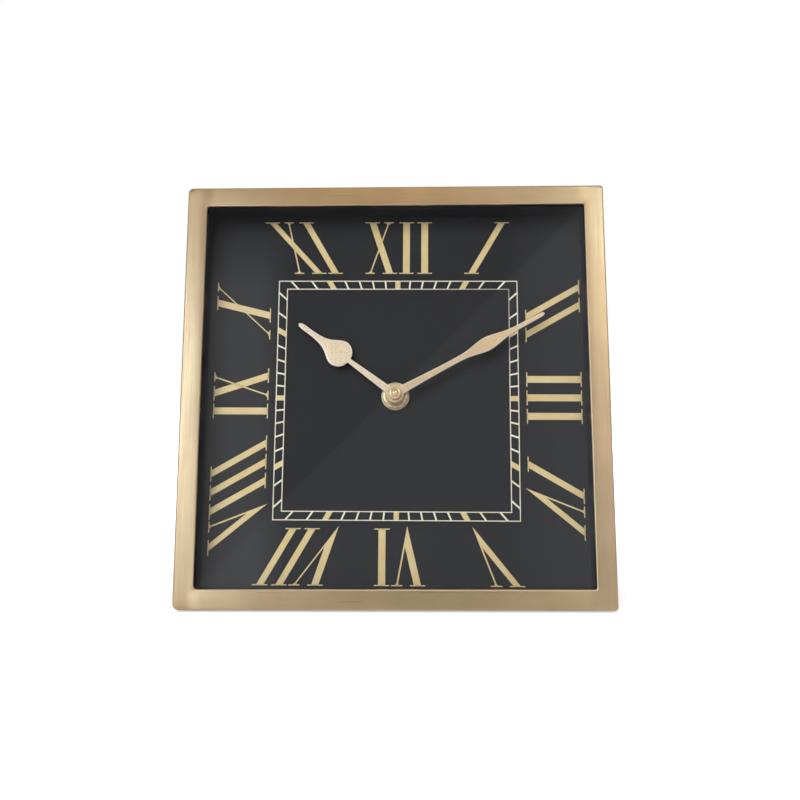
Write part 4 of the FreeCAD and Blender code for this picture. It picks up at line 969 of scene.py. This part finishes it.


# Nut, washer, bush, cap: the turned stack at the middle of the dial.

# the washer's bore and rounded edges, and the width and strength of the painted highlight at its
# rim
washer = {**inMetres(bore=4.05, rounds=(0.1, 0.22, 0.1, 0.05), rim=0.3), "wear": 0.8}
nut = {
    "bore": 4.02 * mm, "sharp": radians(24), "steps": 192,
    # depth from the front or the back, and how far beyond the flats a cone cuts, in millimetres
    "frontCuts": ((0.0, -0.15), (0.06, 0.05), (0.35, 0.42), (0.62, 1.2)),
    "backCuts": ((-0.3, 1.2), (0.0, 0.35)),
    # painted highlight on each ring, from the bore at the front to the bore at the back; the front
    # cone's rings get most
    "paintedShine": (0.0, 0.0, 0.9, 0.9, 0.3, 0.0, 0.0, 0.0),
}
bush = {
    **inMetres(pitch=0.5, radius=4.0, bore=2.6, threadDepth=0.3, start=0.4, chamfer=0.25),
    "rings": 150, "steps": 64,
}
cap = {**inMetres(bore=1.78, boreDepth=1.7, rise=0.32), "domeRings": 7, "steps": 96}


def makeCentreStack():
    # the washer gets a painted highlight, strongest at its rim, less so inward
    gold = finishes["turned_brass"]
    low, high = span("fixing_washer")
    shape = roundedRing(low[1], high[1], washer["bore"], high[0], washer["rounds"])
    inward = high[0] - np.hypot(shape[0][:, 0], shape[0][:, 2])
    newPiece("washer", [shape], gold, "clock_case", "turned_brass", ("fixing_washer",),
             wear=np.clip(1.0 - inward / washer["rim"], 0, 1) * washer["wear"])

    # a hexagon with level top and bottom, its corners cut by a cone at the front
    low, high = span("fixing_nut")
    flats = (high[2] - low[2]) / 2
    angle = np.linspace(0, 2 * pi, nut["steps"], endpoint=False)
    hexagon = flats / np.cos(np.mod(angle, pi / 3) - pi / 6)
    cuts = [(low[1], *cut) for cut in nut["frontCuts"]]
    cuts += [(high[1], *cut) for cut in nut["backCuts"]]
    rings = [ringAt(angle, np.minimum(hexagon, flats + reach * mm), start + depth * mm)
             for start, depth, reach in cuts]
    rings = [ringAt(angle, nut["bore"], low[1]), *rings, ringAt(angle, nut["bore"], high[1])]
    newPiece("nut", [skin(rings)], gold, "clock_case", "turned_brass", ("fixing_nut",),
             sharpAngle=nut["sharp"], wear=np.repeat(nut["paintedShine"], nut["steps"]))

    # the bush shows a fine thread above the nut
    low, high = span("threaded_bush")
    angle = np.linspace(0, 2 * pi, bush["steps"], endpoint=False)
    rings = []
    for place in np.linspace(0, high[1] - low[1], bush["rings"]):
        wave = np.abs(np.mod(place / bush["pitch"] + angle / (2 * pi), 1.0) - 0.5) * 2
        ease = min(place / bush["start"], 1.0)
        radius = bush["radius"] - bush["threadDepth"] * wave * ease - bush["chamfer"] * (1 - ease)
        rings.append(ringAt(angle, radius, low[1] + place))
    rings += [ringAt(angle, bush["bore"], depth) for depth in (high[1], low[1])]
    newPiece("bush", [skin(rings)], gold, "clock_case", "turned_brass", ("threaded_bush",))

    # the cap's dome lies in a shallow step, with a rounded shoulder outside it
    low, high = span("hand_cap")
    radius, front, bore = high[0], low[1], cap["bore"]
    shoulder, dome, foot = radius * 0.80, radius * 0.5, front + cap["rise"]
    floor = front + cap["boreDepth"]
    profile = [(front + cap["rise"] * share ** 2, dome * share)
               for share in np.linspace(0, 1, cap["domeRings"])]
    profile += [(foot + 0.10 * mm, dome + 0.12 * mm), (foot + 0.12 * mm, shoulder),
                (foot + 0.30 * mm, shoulder + 0.35 * mm), (foot + 0.62 * mm, radius),
                (high[1] - 0.15 * mm, radius), (high[1], radius - 0.15 * mm), (high[1], bore),
                (floor, bore), (floor, 0.0)]
    paintedShine = np.zeros(len(profile))
    # painted highlight on the shoulder's two rings, and a little on the dome's first ones
    paintedShine[[9, 10]] = 0.8
    paintedShine[:4] = 0.35
    newPiece("cap", [turnedPart(profile, cap["steps"])],
             turnedMetal("capBrass", (0.93, 0.66, 0.36), 0.22, 0.65), "minute_hand_set",
             "hand_brass", ("hand_cap",), wear=np.tile(paintedShine, cap["steps"]))


makeCentreStack()
print("centre stack ready")


# The back: screws, setting knob, cell and the moulded parts round them.

backSharp = radians(35)
screwHead = {
    **inMetres(radius=2.8, height=1.6, edge=0.45, dome=0.22, crossWidth=0.85, crossReach=1.55,
               crossDepth=0.95, crossSlope=0.09, chamfer=0.5, innermost=0.05),
    "turns": (12.0, 71.0, 38.0, 55.0), "steps": 144,
}


def makeScrews():
    # a domed head with a cross recess that deepens towards the middle, on a plain shank
    points = nodePoints("cover_screws")
    rear, tip = points[:, 1].max(), points[:, 1].min()
    middle = (points[:, 2].max() + points[:, 2].min()) / 2
    radius, rounding, chamfer = screwHead["radius"], screwHead["edge"], screwHead["chamfer"]
    crossReach, seat = screwHead["crossReach"], rear - screwHead["height"]
    angle = np.linspace(0, 2 * pi, screwHead["steps"], endpoint=False)
    arc = 1 - np.sin(np.linspace(0.2, pi / 2, 7))
    radii = np.concatenate([np.linspace(screwHead["innermost"], radius - rounding, 34),
                            radius - rounding * arc])
    across, up = np.outer(radii, np.cos(angle)), np.outer(radii, np.sin(angle))
    far = np.hypot(across, up)
    edge = np.clip((far - radius + rounding) / rounding, 0, 1)
    dome = screwHead["dome"] * (far / radius) ** 2
    dome = dome + rounding * (1 - np.sqrt(np.clip(1 - edge ** 2, 0, 1)))
    taper = np.clip(1.2 - far / (crossReach * 1.3), 0.25, 1)
    corners = [(side, top) for side in (-1, 1) for top in (False, True)]
    parts = []
    for (side, top), turn in zip(corners, screwHead["turns"]):
        own = points[(np.sign(points[:, 0]) == side) & ((points[:, 2] > middle) == top)]
        centre = (own.min(0) + own.max(0)) / 2
        c, s = cos(radians(turn)), sin(radians(turn))
        x, z = np.abs(across * c + up * s), np.abs(up * c - across * s)
        inside = np.minimum(screwHead["crossWidth"] / 2 - np.minimum(x, z),
                            crossReach - np.maximum(x, z))
        recess = (screwHead["crossDepth"] * taper
                  * np.clip(inside / screwHead["crossSlope"], 0, 1))
        grid = np.stack([across, rear - dome - recess, up], -1)
        onShank = own[own[:, 1] < seat - chamfer] - centre
        shank = np.hypot(onShank[:, 0], onShank[:, 2]).max()
        rings = [ringAt(angle, size, place) for size, place in (
            (radius, seat), (shank, seat), (shank, tip + chamfer), (shank - chamfer, tip))]
        parts.append(skin(np.array([*grid, *rings]) + [centre[0], 0.0, centre[2]], False))
    newPiece("screws", parts, finishes["zinc_steel"], "clock_case", "zinc_steel",
             ("cover_screws",), sharpAngle=backSharp, toPlace=np.asarray)


knob = {
    **inMetres(fluteDepth=0.6, round=0.4, chamfer=0.15, bore=1.9, dish=0.8, dishFrom=1.9,
               dishTo=5.1, dishSlope=0.3, arrowRadius=3.5, arrowHalf=0.36, arrowTip=1.7,
               arrowWing=1.0, arrowSink=0.1),
    "flutes": 24, "steps": 240, "arrowStart": 35.0, "arrowEnd": 285.0, "arrowSteps": 60,
    # first and last radius, in millimetres, and number of the rings on the rear face
    "rings": ((0.05, 1.8, 4), (1.9, 2.3, 7), (2.8, 4.6, 4), (4.8, 5.15, 7), (5.5, 5.8, 2)),
}


def arrowShape(rear, centre):
    # an arc with a triangle at its end
    turn = np.radians(np.linspace(knob["arrowStart"], knob["arrowEnd"], knob["arrowSteps"]))
    circle = np.stack([np.cos(turn), np.sin(turn)], -1)
    radius, half, wing = knob["arrowRadius"], knob["arrowHalf"], knob["arrowWing"]
    out, ahead = circle[-1], np.array([-circle[-1, 1], circle[-1, 0]])
    tip = [out * (radius + wing), out * radius + ahead * knob["arrowTip"], out * (radius - wing)]
    outline = np.concatenate([(radius + half) * circle, tip, (radius - half) * circle[::-1]])
    count, last = len(outline), knob["arrowSteps"] - 1
    caps = [[i, i + 1, count - 2 - i, count - 1 - i] for i in range(last)]
    caps.append(list(range(last, last + 5)))
    top = rear - knob["arrowSink"]
    return prism(outline + centre, top, top - knob["dish"], caps)


def makeKnob():
    # flutes round the rim, a shallow dish with a curved arrow standing in it
    low, high = span("setting_knob")
    centre = np.array(middleOf("setting_knob"))
    rear, front = high[1], low[1]
    angle = np.linspace(0, 2 * pi, knob["steps"], endpoint=False)
    flute = knob["fluteDepth"] * (0.5 - 0.5 * np.cos(angle * knob["flutes"])) ** 1.5
    rim = (high[0] - low[0]) / 2 - flute
    rows = []
    for first, last, count in knob["rings"]:
        for far in np.linspace(first, last, count) * mm:
            step = np.clip(min(far - knob["dishFrom"], knob["dishTo"] - far) / knob["dishSlope"],
                           0, 1)
            rows.append((far, rear - knob["dish"] * step ** 2 * (3 - 2 * step)))
    for turn in np.linspace(0, pi / 2, 7):
        rows.append((rim - knob["round"] * (1 - sin(turn)), rear - knob["round"] * (1 - cos(turn))))
    chamfer = knob["chamfer"]
    rows += [(rim, front + chamfer), (rim - chamfer, front), (knob["bore"], front)]
    grid = [ringAt(angle, far, place, centre) for far, place in rows]
    newPiece("settingKnob", [skin(grid, False), arrowShape(rear, centre)],
             finishes["knob_plastic"], "setting_set", "knob_plastic", ("setting_knob",),
             sharpAngle=backSharp)


cell = {
    "sleeve": (0.030, 0.075, 0.125), "after": (0.16, 0.17, 0.18), "band": (0.55, 0.56, 0.57),
    **inMetres(bandFrom=17.5, bandTo=19.0, length=49.2, nub=2.745),
}


def cellSleeve():
    # shrunk film in two plain colours with a pale ring between them
    finish = newFinish("cellSleeve", cell["sleeve"], roughness=0.25, Specular_IOR_Level=0.5)
    tree = finish[1]
    place = placeAcross(tree)
    after = maths(tree, "GREATER_THAN", place, cell["bandFrom"])
    ring = maths(tree, "MULTIPLY", after, maths(tree, "LESS_THAN", place, cell["bandTo"]))
    creases = noise(tree, 500.0, 2.0, lie=coordinates(tree, (0.3, 1, 1)))
    tint = mix(tree, after, mottled(tree, creases, cell["sleeve"], 0.8), cell["after"])
    tint = mix(tree, ring, tint, cell["band"])
    return dress(finish, tint, spread(tree, creases, 0.2, 0.32), creases, 0.002 * mm, 0.3)


def makeCell():
    # a rounded can in its sleeve, with a bare steel plate at each end and the nub;
    # places are in millimetres from the flat end, from the nub's foot or from its tip
    low, high = span("battery")
    axis = ((low[1] + high[1]) / 2, (low[2] + high[2]) / 2)
    flat, tip, radius = low[0], high[0], (high[1] - low[1]) / 2
    foot, nub = flat + cell["length"], cell["nub"]
    sleeve = roundedProfile(
        ((flat + 0.25 * mm, 5.6 * mm), (flat, 5.9 * mm), (flat, radius), (foot, radius),
         (foot, 5.2 * mm), (foot - 0.35 * mm, 5.0 * mm)),
        (0.0, 0.1 * mm, 0.7 * mm, 0.9 * mm, 0.1 * mm, 0.0), 6)
    newPiece("cellSleeve", [turnedPart(sleeve, 96, "across", axis)], cellSleeve(), "battery_cell",
             "battery_sleeve", ("battery",))
    bare = [(flat + 0.3 * mm, 0.0), (flat + 0.3 * mm, 6.2 * mm), (flat + 0.6 * mm, 6.4 * mm),
            (foot - 0.8 * mm, 6.4 * mm), (foot - 0.25 * mm, 6.0 * mm), (foot - 0.25 * mm, 4.2 * mm),
            (foot, 3.6 * mm), (foot, nub + 0.3 * mm), (foot + 0.2 * mm, nub),
            (tip - 0.3 * mm, nub), (tip - 0.08 * mm, nub - 0.1 * mm), (tip, nub - 0.4 * mm),
            (tip, 0.0)]
    newPiece("cellEnds", [turnedPart(bare, 96, "across", axis)], finishes["zinc_steel"],
             "battery_cell", "battery_sleeve")


moulded = {
    "copies": (("rear_cover", "rearCover", "cover_black", 0.5 * mm),
               ("movement_body", "housing", "movement_plastic", 0.4 * mm),
               ("movement_cover", "housingLid", "movement_plastic", 0.4 * mm),
               ("foot_pads", "feet", "pad_rubber", 0.25 * mm)),
    **inMetres(signAcross=22.0, signUp=-8.6, signLength=3.0, signWidth=0.7, signRise=0.22,
               sink=0.1, collarInner=7.7, collarOuter=8.5, collarRise=0.35, collarRound=0.12),
}


def signOutline(across, plus):
    # a bar, or a bar with an upright through it
    up, a, b = moulded["signUp"], moulded["signLength"] / 2, moulded["signWidth"] / 2
    corners = [(-a, -b), (a, -b), (a, b), (-a, b)]
    if plus:
        corners = [(-a, -b), (-b, -b), (-b, -a), (b, -a), (b, -b), (a, -b), (a, b), (b, b), (b, a),
                   (-b, a), (-b, b), (-a, b)]
    return np.array(corners) + [across, up]


def makeMouldings():
    # smooth copies, raised signs above the ends of the cell and a raised collar round the knob
    for copy in moulded["copies"]:
        smoothCopy(*copy)
    rear = span("movement_body")[1][1]
    parts = [prism(signOutline(across, plus), rear + moulded["signRise"], rear - moulded["sink"])
             for across, plus in ((moulded["signAcross"], True), (-moulded["signAcross"], False))]
    foot, top = rear - moulded["sink"], rear + moulded["collarRise"]
    inner, outer, arc = moulded["collarInner"], moulded["collarOuter"], moulded["collarRound"]
    profile = roundedProfile(((foot, inner), (top, inner), (top, outer), (foot, outer)),
                             (0.0, arc, arc, 0.0), 4)
    parts.append(turnedPart(profile, 128, centre=middleOf("setting_knob")))
    newPiece("housingMarks", parts, finishes["movement_plastic"], "clock_case",
             "movement_plastic", sharpAngle=backSharp)


makeScrews()
makeKnob()
makeCell()
makeMouldings()
print("back ready")


# Floor, light and camera

stage = {
    "reach": 6.0, "level": -0.02 * mm, "paper": (0.66, 0.66, 0.66),
    # the glow's strength near the clock and far off, and from where to where it grows
    "glow": (0.5, 1.0, 0.13, 0.42),
}
camera = {
    "place": (11.41 * mm, -446.99 * mm, 98.22 * mm),
    "forward": (-0.02065, 0.99976, -0.00742),
    "up": (0.00302, 0.00748, 0.99997),
    "lens": 41.616,
    "sensor": 36.0,
}


def addObject(name, data):
    # an object for a lamp, the camera or the floor
    piece = bpy.data.objects.new(name, data)
    scene.collection.objects.link(piece)
    return piece


def firstSight(tree):
    # one for what the camera sees straight or through glass, and one for what a metal mirrors
    rays = addNode(tree, "ShaderNodeLightPath")
    unspread = maths(tree, "LESS_THAN", rays.outputs["Diffuse Depth"], 0.5)
    mirrored = maths(tree, "GREATER_THAN", rays.outputs["Glossy Depth"], 0.5)
    straight = maths(tree, "SUBTRACT", 1.0, mirrored)
    return maths(tree, "MULTIPLY", unspread, straight), maths(tree, "MULTIPLY", unspread, mirrored)


def stageMaterial():
    # white to the camera, less whatever shade falls on it near the clock
    material, tree, shader = newFinish("paper", stage["paper"], roughness=0.9,
                                       Specular_IOR_Level=0.0)
    material.cycles.emission_sampling = "NONE"
    away = vector(tree, "LENGTH", coordinates(tree))
    glow = addNode(tree, "ShaderNodeEmission", {"Strength": spread(tree, away, *stage["glow"])})
    paper = shader.outputs["BSDF"]
    lit = addNode(tree, "ShaderNodeAddShader", (paper, glow.outputs["Emission"]))
    choose(material, firstSight(tree)[0], paper, lit.outputs["Shader"])
    return material


def makeStage():
    # one square a hair below the feet
    reach, level = stage["reach"], stage["level"]
    mesh = bpy.data.meshes.new("floor")
    mesh.from_pydata([(-reach, -reach, level), (reach, -reach, level), (reach, reach, level),
                      (-reach, reach, level)], [], [(0, 1, 2, 3)])
    mesh.materials.append(stageMaterial())
    addObject("floor", mesh)


def makeCamera():
    # its axes are right, up and backward, made square to each other
    data = bpy.data.cameras.new("camera")
    data.lens = camera["lens"]
    data.sensor_width = camera["sensor"]
    data.clip_start = 0.01
    data.clip_end = 50.0
    forward = Vector(camera["forward"]).normalized()
    right = forward.cross(Vector(camera["up"])).normalized()
    turn = Matrix((right, right.cross(forward), -forward)).transposed().to_4x4()
    scene.camera = addObject("camera", data)
    scene.camera.matrix_world = Matrix.Translation(Vector(camera["place"])) @ turn


nothing = (0.0, 0.0, 0.0)
mirrorRoom = {
    "upperLeft": 0.10,
    "lowerRight": 0.22,
    "edge": 1.5 * mm,
    "card": (94 * mm, 104 * mm),
    "reach": 0.16,
    "along": 0.050,
    "across": 0.080,
    # soft boxes round a dark card, from one end of each side to the other
    "places": (-0.105, -0.035, 0.035, 0.105),
    "left": ((0.4, 0.1, 0.1), (4.6, 5.35, 5.7), (3.5, 4.35, 5.2), (0.5, 0.2, 0.1)),
    "right": ((0.7, 0.9, 0.6), (1.0, 0.9, 1.6), (2.4, 1.85, 0.8), (4.2, 5.6, 6.4)),
    "top": (nothing, (1.2, 0.97, 0.52), (1.22, 0.68, 0.22), nothing),
    "far": (0.30, 0.75),
    "farColour": (0.60, 0.60, 0.60),
    "wall": (0.03, 0.02, 0.01),
    # brighter room light that the glass mirrors near its edges: how strong, and from where to where
    # it grows
    "edgeLightLeft": (0.34, 0.050, 0.064),
    "edgeLightRight": (0.20, 0.052, 0.090),
    "edgeLightBelow": (0.06, 0.052, 0.090),
    # from where to where the left one fades towards the top, and where each ends
    "edgeLightLeftTop": (-0.080, -0.050),
    "edgeLightLeftEnd": (0.0865, 0.0900),
    "edgeLightEnd": (0.0885, 0.0925),
    "ambient": 0.34,
}


def softBoxes():
    # place, size and colour of each soft box on the mirrored plane of the face
    boxes = []
    for side, (axis, sign) in {"left": (0, -1), "right": (0, 1), "top": (1, 1)}.items():
        for place, colour in zip(mirrorRoom["places"], mirrorRoom[side]):
            centre, size = [place, place], [mirrorRoom["along"]] * 2
            centre[axis], size[axis] = sign * mirrorRoom["reach"], mirrorRoom["across"]
            boxes.append((centre, size, colour))
    return boxes


def boxGlow(tree, place):
    # each box adds its colour times e to the minus squared distance, in sizes of the box
    total = nothing
    for (x, y), (sizeX, sizeY), colour in softBoxes():
        offset = vector(tree, "MULTIPLY_ADD", place, (1 / sizeX, 1 / sizeY, 0.0),
                        (-x / sizeX, -y / sizeY, 0.0))
        square = vector(tree, "DOT_PRODUCT", offset, offset)
        fade = maths(tree, "EXPONENT", maths(tree, "MULTIPLY", square, -1.0))
        total = vector(tree, "ADD", scaled(tree, colour, fade), total)
    return total


def reflectedEdgeLight(tree, right, up):
    # brighter room light mirrored in the glass near its sides and its lower edge

    def grows(along, edgeLight):
        # nothing up to the first place, the full strength from the second one
        strength, first, second = edgeLight
        return spread(tree, along, 0.0, strength, first, second)

    left, down = (maths(tree, "MULTIPLY", way, -1.0) for way in (right, up))
    edgeLight = grows(left, mirrorRoom["edgeLightLeft"])
    for way, ends in ((down, (0.0, 1.0, *mirrorRoom["edgeLightLeftTop"])),
                      (left, (1.0, 0.0, *mirrorRoom["edgeLightLeftEnd"]))):
        edgeLight = maths(tree, "MULTIPLY", edgeLight, spread(tree, way, *ends))
    edgeLight = maths(tree, "ADD", edgeLight, grows(right, mirrorRoom["edgeLightRight"]))
    return maths(tree, "ADD", edgeLight, grows(down, mirrorRoom["edgeLightBelow"]))


def makeWorld():
    # white to the camera, a dim room to soft light, and to mirror rays a studio;
    # a mirror ray's direction is read as the place on the face that would send it
    world = bpy.data.worlds.new("studio")
    scene.world = world
    world.use_nodes = True
    # rays find the room by themselves, so each kind sees its own side of it
    world.cycles.sampling_method = "NONE"
    tree = world.node_tree

    # ratios of the ray's parts, times the mirrored camera's distance, give the place
    fromCamera = np.array(camera["place"]) - faceOrigin
    distance = span("front_glass")[0][1] - fromCamera @ depthAxis
    ray = addNode(tree, "ShaderNodeTexCoord").outputs["Generated"]
    outward = maths(tree, "MAXIMUM", vector(tree, "DOT_PRODUCT", ray, tuple(-depthAxis)), 0.05)
    places = []
    for axis in (acrossAxis, upAxis):
        ratio = maths(tree, "DIVIDE", vector(tree, "DOT_PRODUCT", ray, tuple(axis)), outward)
        places.append(maths(tree, "MULTIPLY_ADD", ratio, distance, fromCamera @ axis))
    right, up = places
    position = addNode(tree, "ShaderNodeCombineXYZ", places)
    widest = maths(tree, "MAXIMUM", *(maths(tree, "ABSOLUTE", way) for way in places))

    # the room is split from the glass's top right corner to its bottom left one
    split = spread(tree, maths(tree, "SUBTRACT", right, up), mirrorRoom["upperLeft"],
                   mirrorRoom["lowerRight"], -mirrorRoom["edge"], mirrorRoom["edge"])
    level = maths(tree, "MULTIPLY_ADD", reflectedEdgeLight(tree, right, up),
                  spread(tree, widest, 1.0, 0.0, *mirrorRoom["edgeLightEnd"]), split)
    grey = addNode(tree, "ShaderNodeCombineXYZ", (level,) * 3)
    # a dark card keeps the soft boxes out of the glass, and far off the room is grey
    beyond = spread(tree, widest, 0.0, 1.0, *mirrorRoom["card"])
    boxes = scaled(tree, boxGlow(tree, position.outputs["Vector"]), beyond)
    far = scaled(tree, mirrorRoom["farColour"],
                 spread(tree, widest, 0.0, 1.0, *mirrorRoom["far"]))
    room = mix(tree, beyond, grey.outputs["Vector"], mirrorRoom["wall"])
    room = vector(tree, "ADD", vector(tree, "ADD", room, boxes), far)

    straight, mirrored = firstSight(tree)
    lit = mix(tree, mirrored, (mirrorRoom["ambient"],) * 3, room)
    feed(tree.nodes["Background"].inputs["Color"], mix(tree, straight, lit, (1.0, 1.0, 1.0)))


# the main lamp stands up and left of the face's normal, so the frame shades the dial there
lamps = {
    "mainLamp": (toWorld((-0.42, -1.30, 0.46)), 0.80, 21.5),
    "topLamp": ((0.0, 0.1, 1.4), 1.2, 8.0),
    "rearLamp": ((0.5, 1.3, 0.6), 0.9, 8.0),
}


def makeLamps():
    # square lamps aimed at the middle of the face, unseen in mirrors and in glass
    for name, (start, size, power) in lamps.items():
        data = bpy.data.lights.new(name, "AREA")
        data.shape = "RECTANGLE"
        data.size = size
        data.size_y = size
        data.energy = power
        lamp = addObject(name, data)
        lamp.location = start
        lamp.rotation_euler = Vector(faceOrigin - start).to_track_quat("-Z", "Y").to_euler()
        lamp.visible_glossy = False
        lamp.visible_transmission = False


scene.view_settings.view_transform = "Standard"
makeStage()
makeCamera()
makeWorld()
makeLamps()
print("stage, light and camera ready")

bpy.context.view_layer.update()
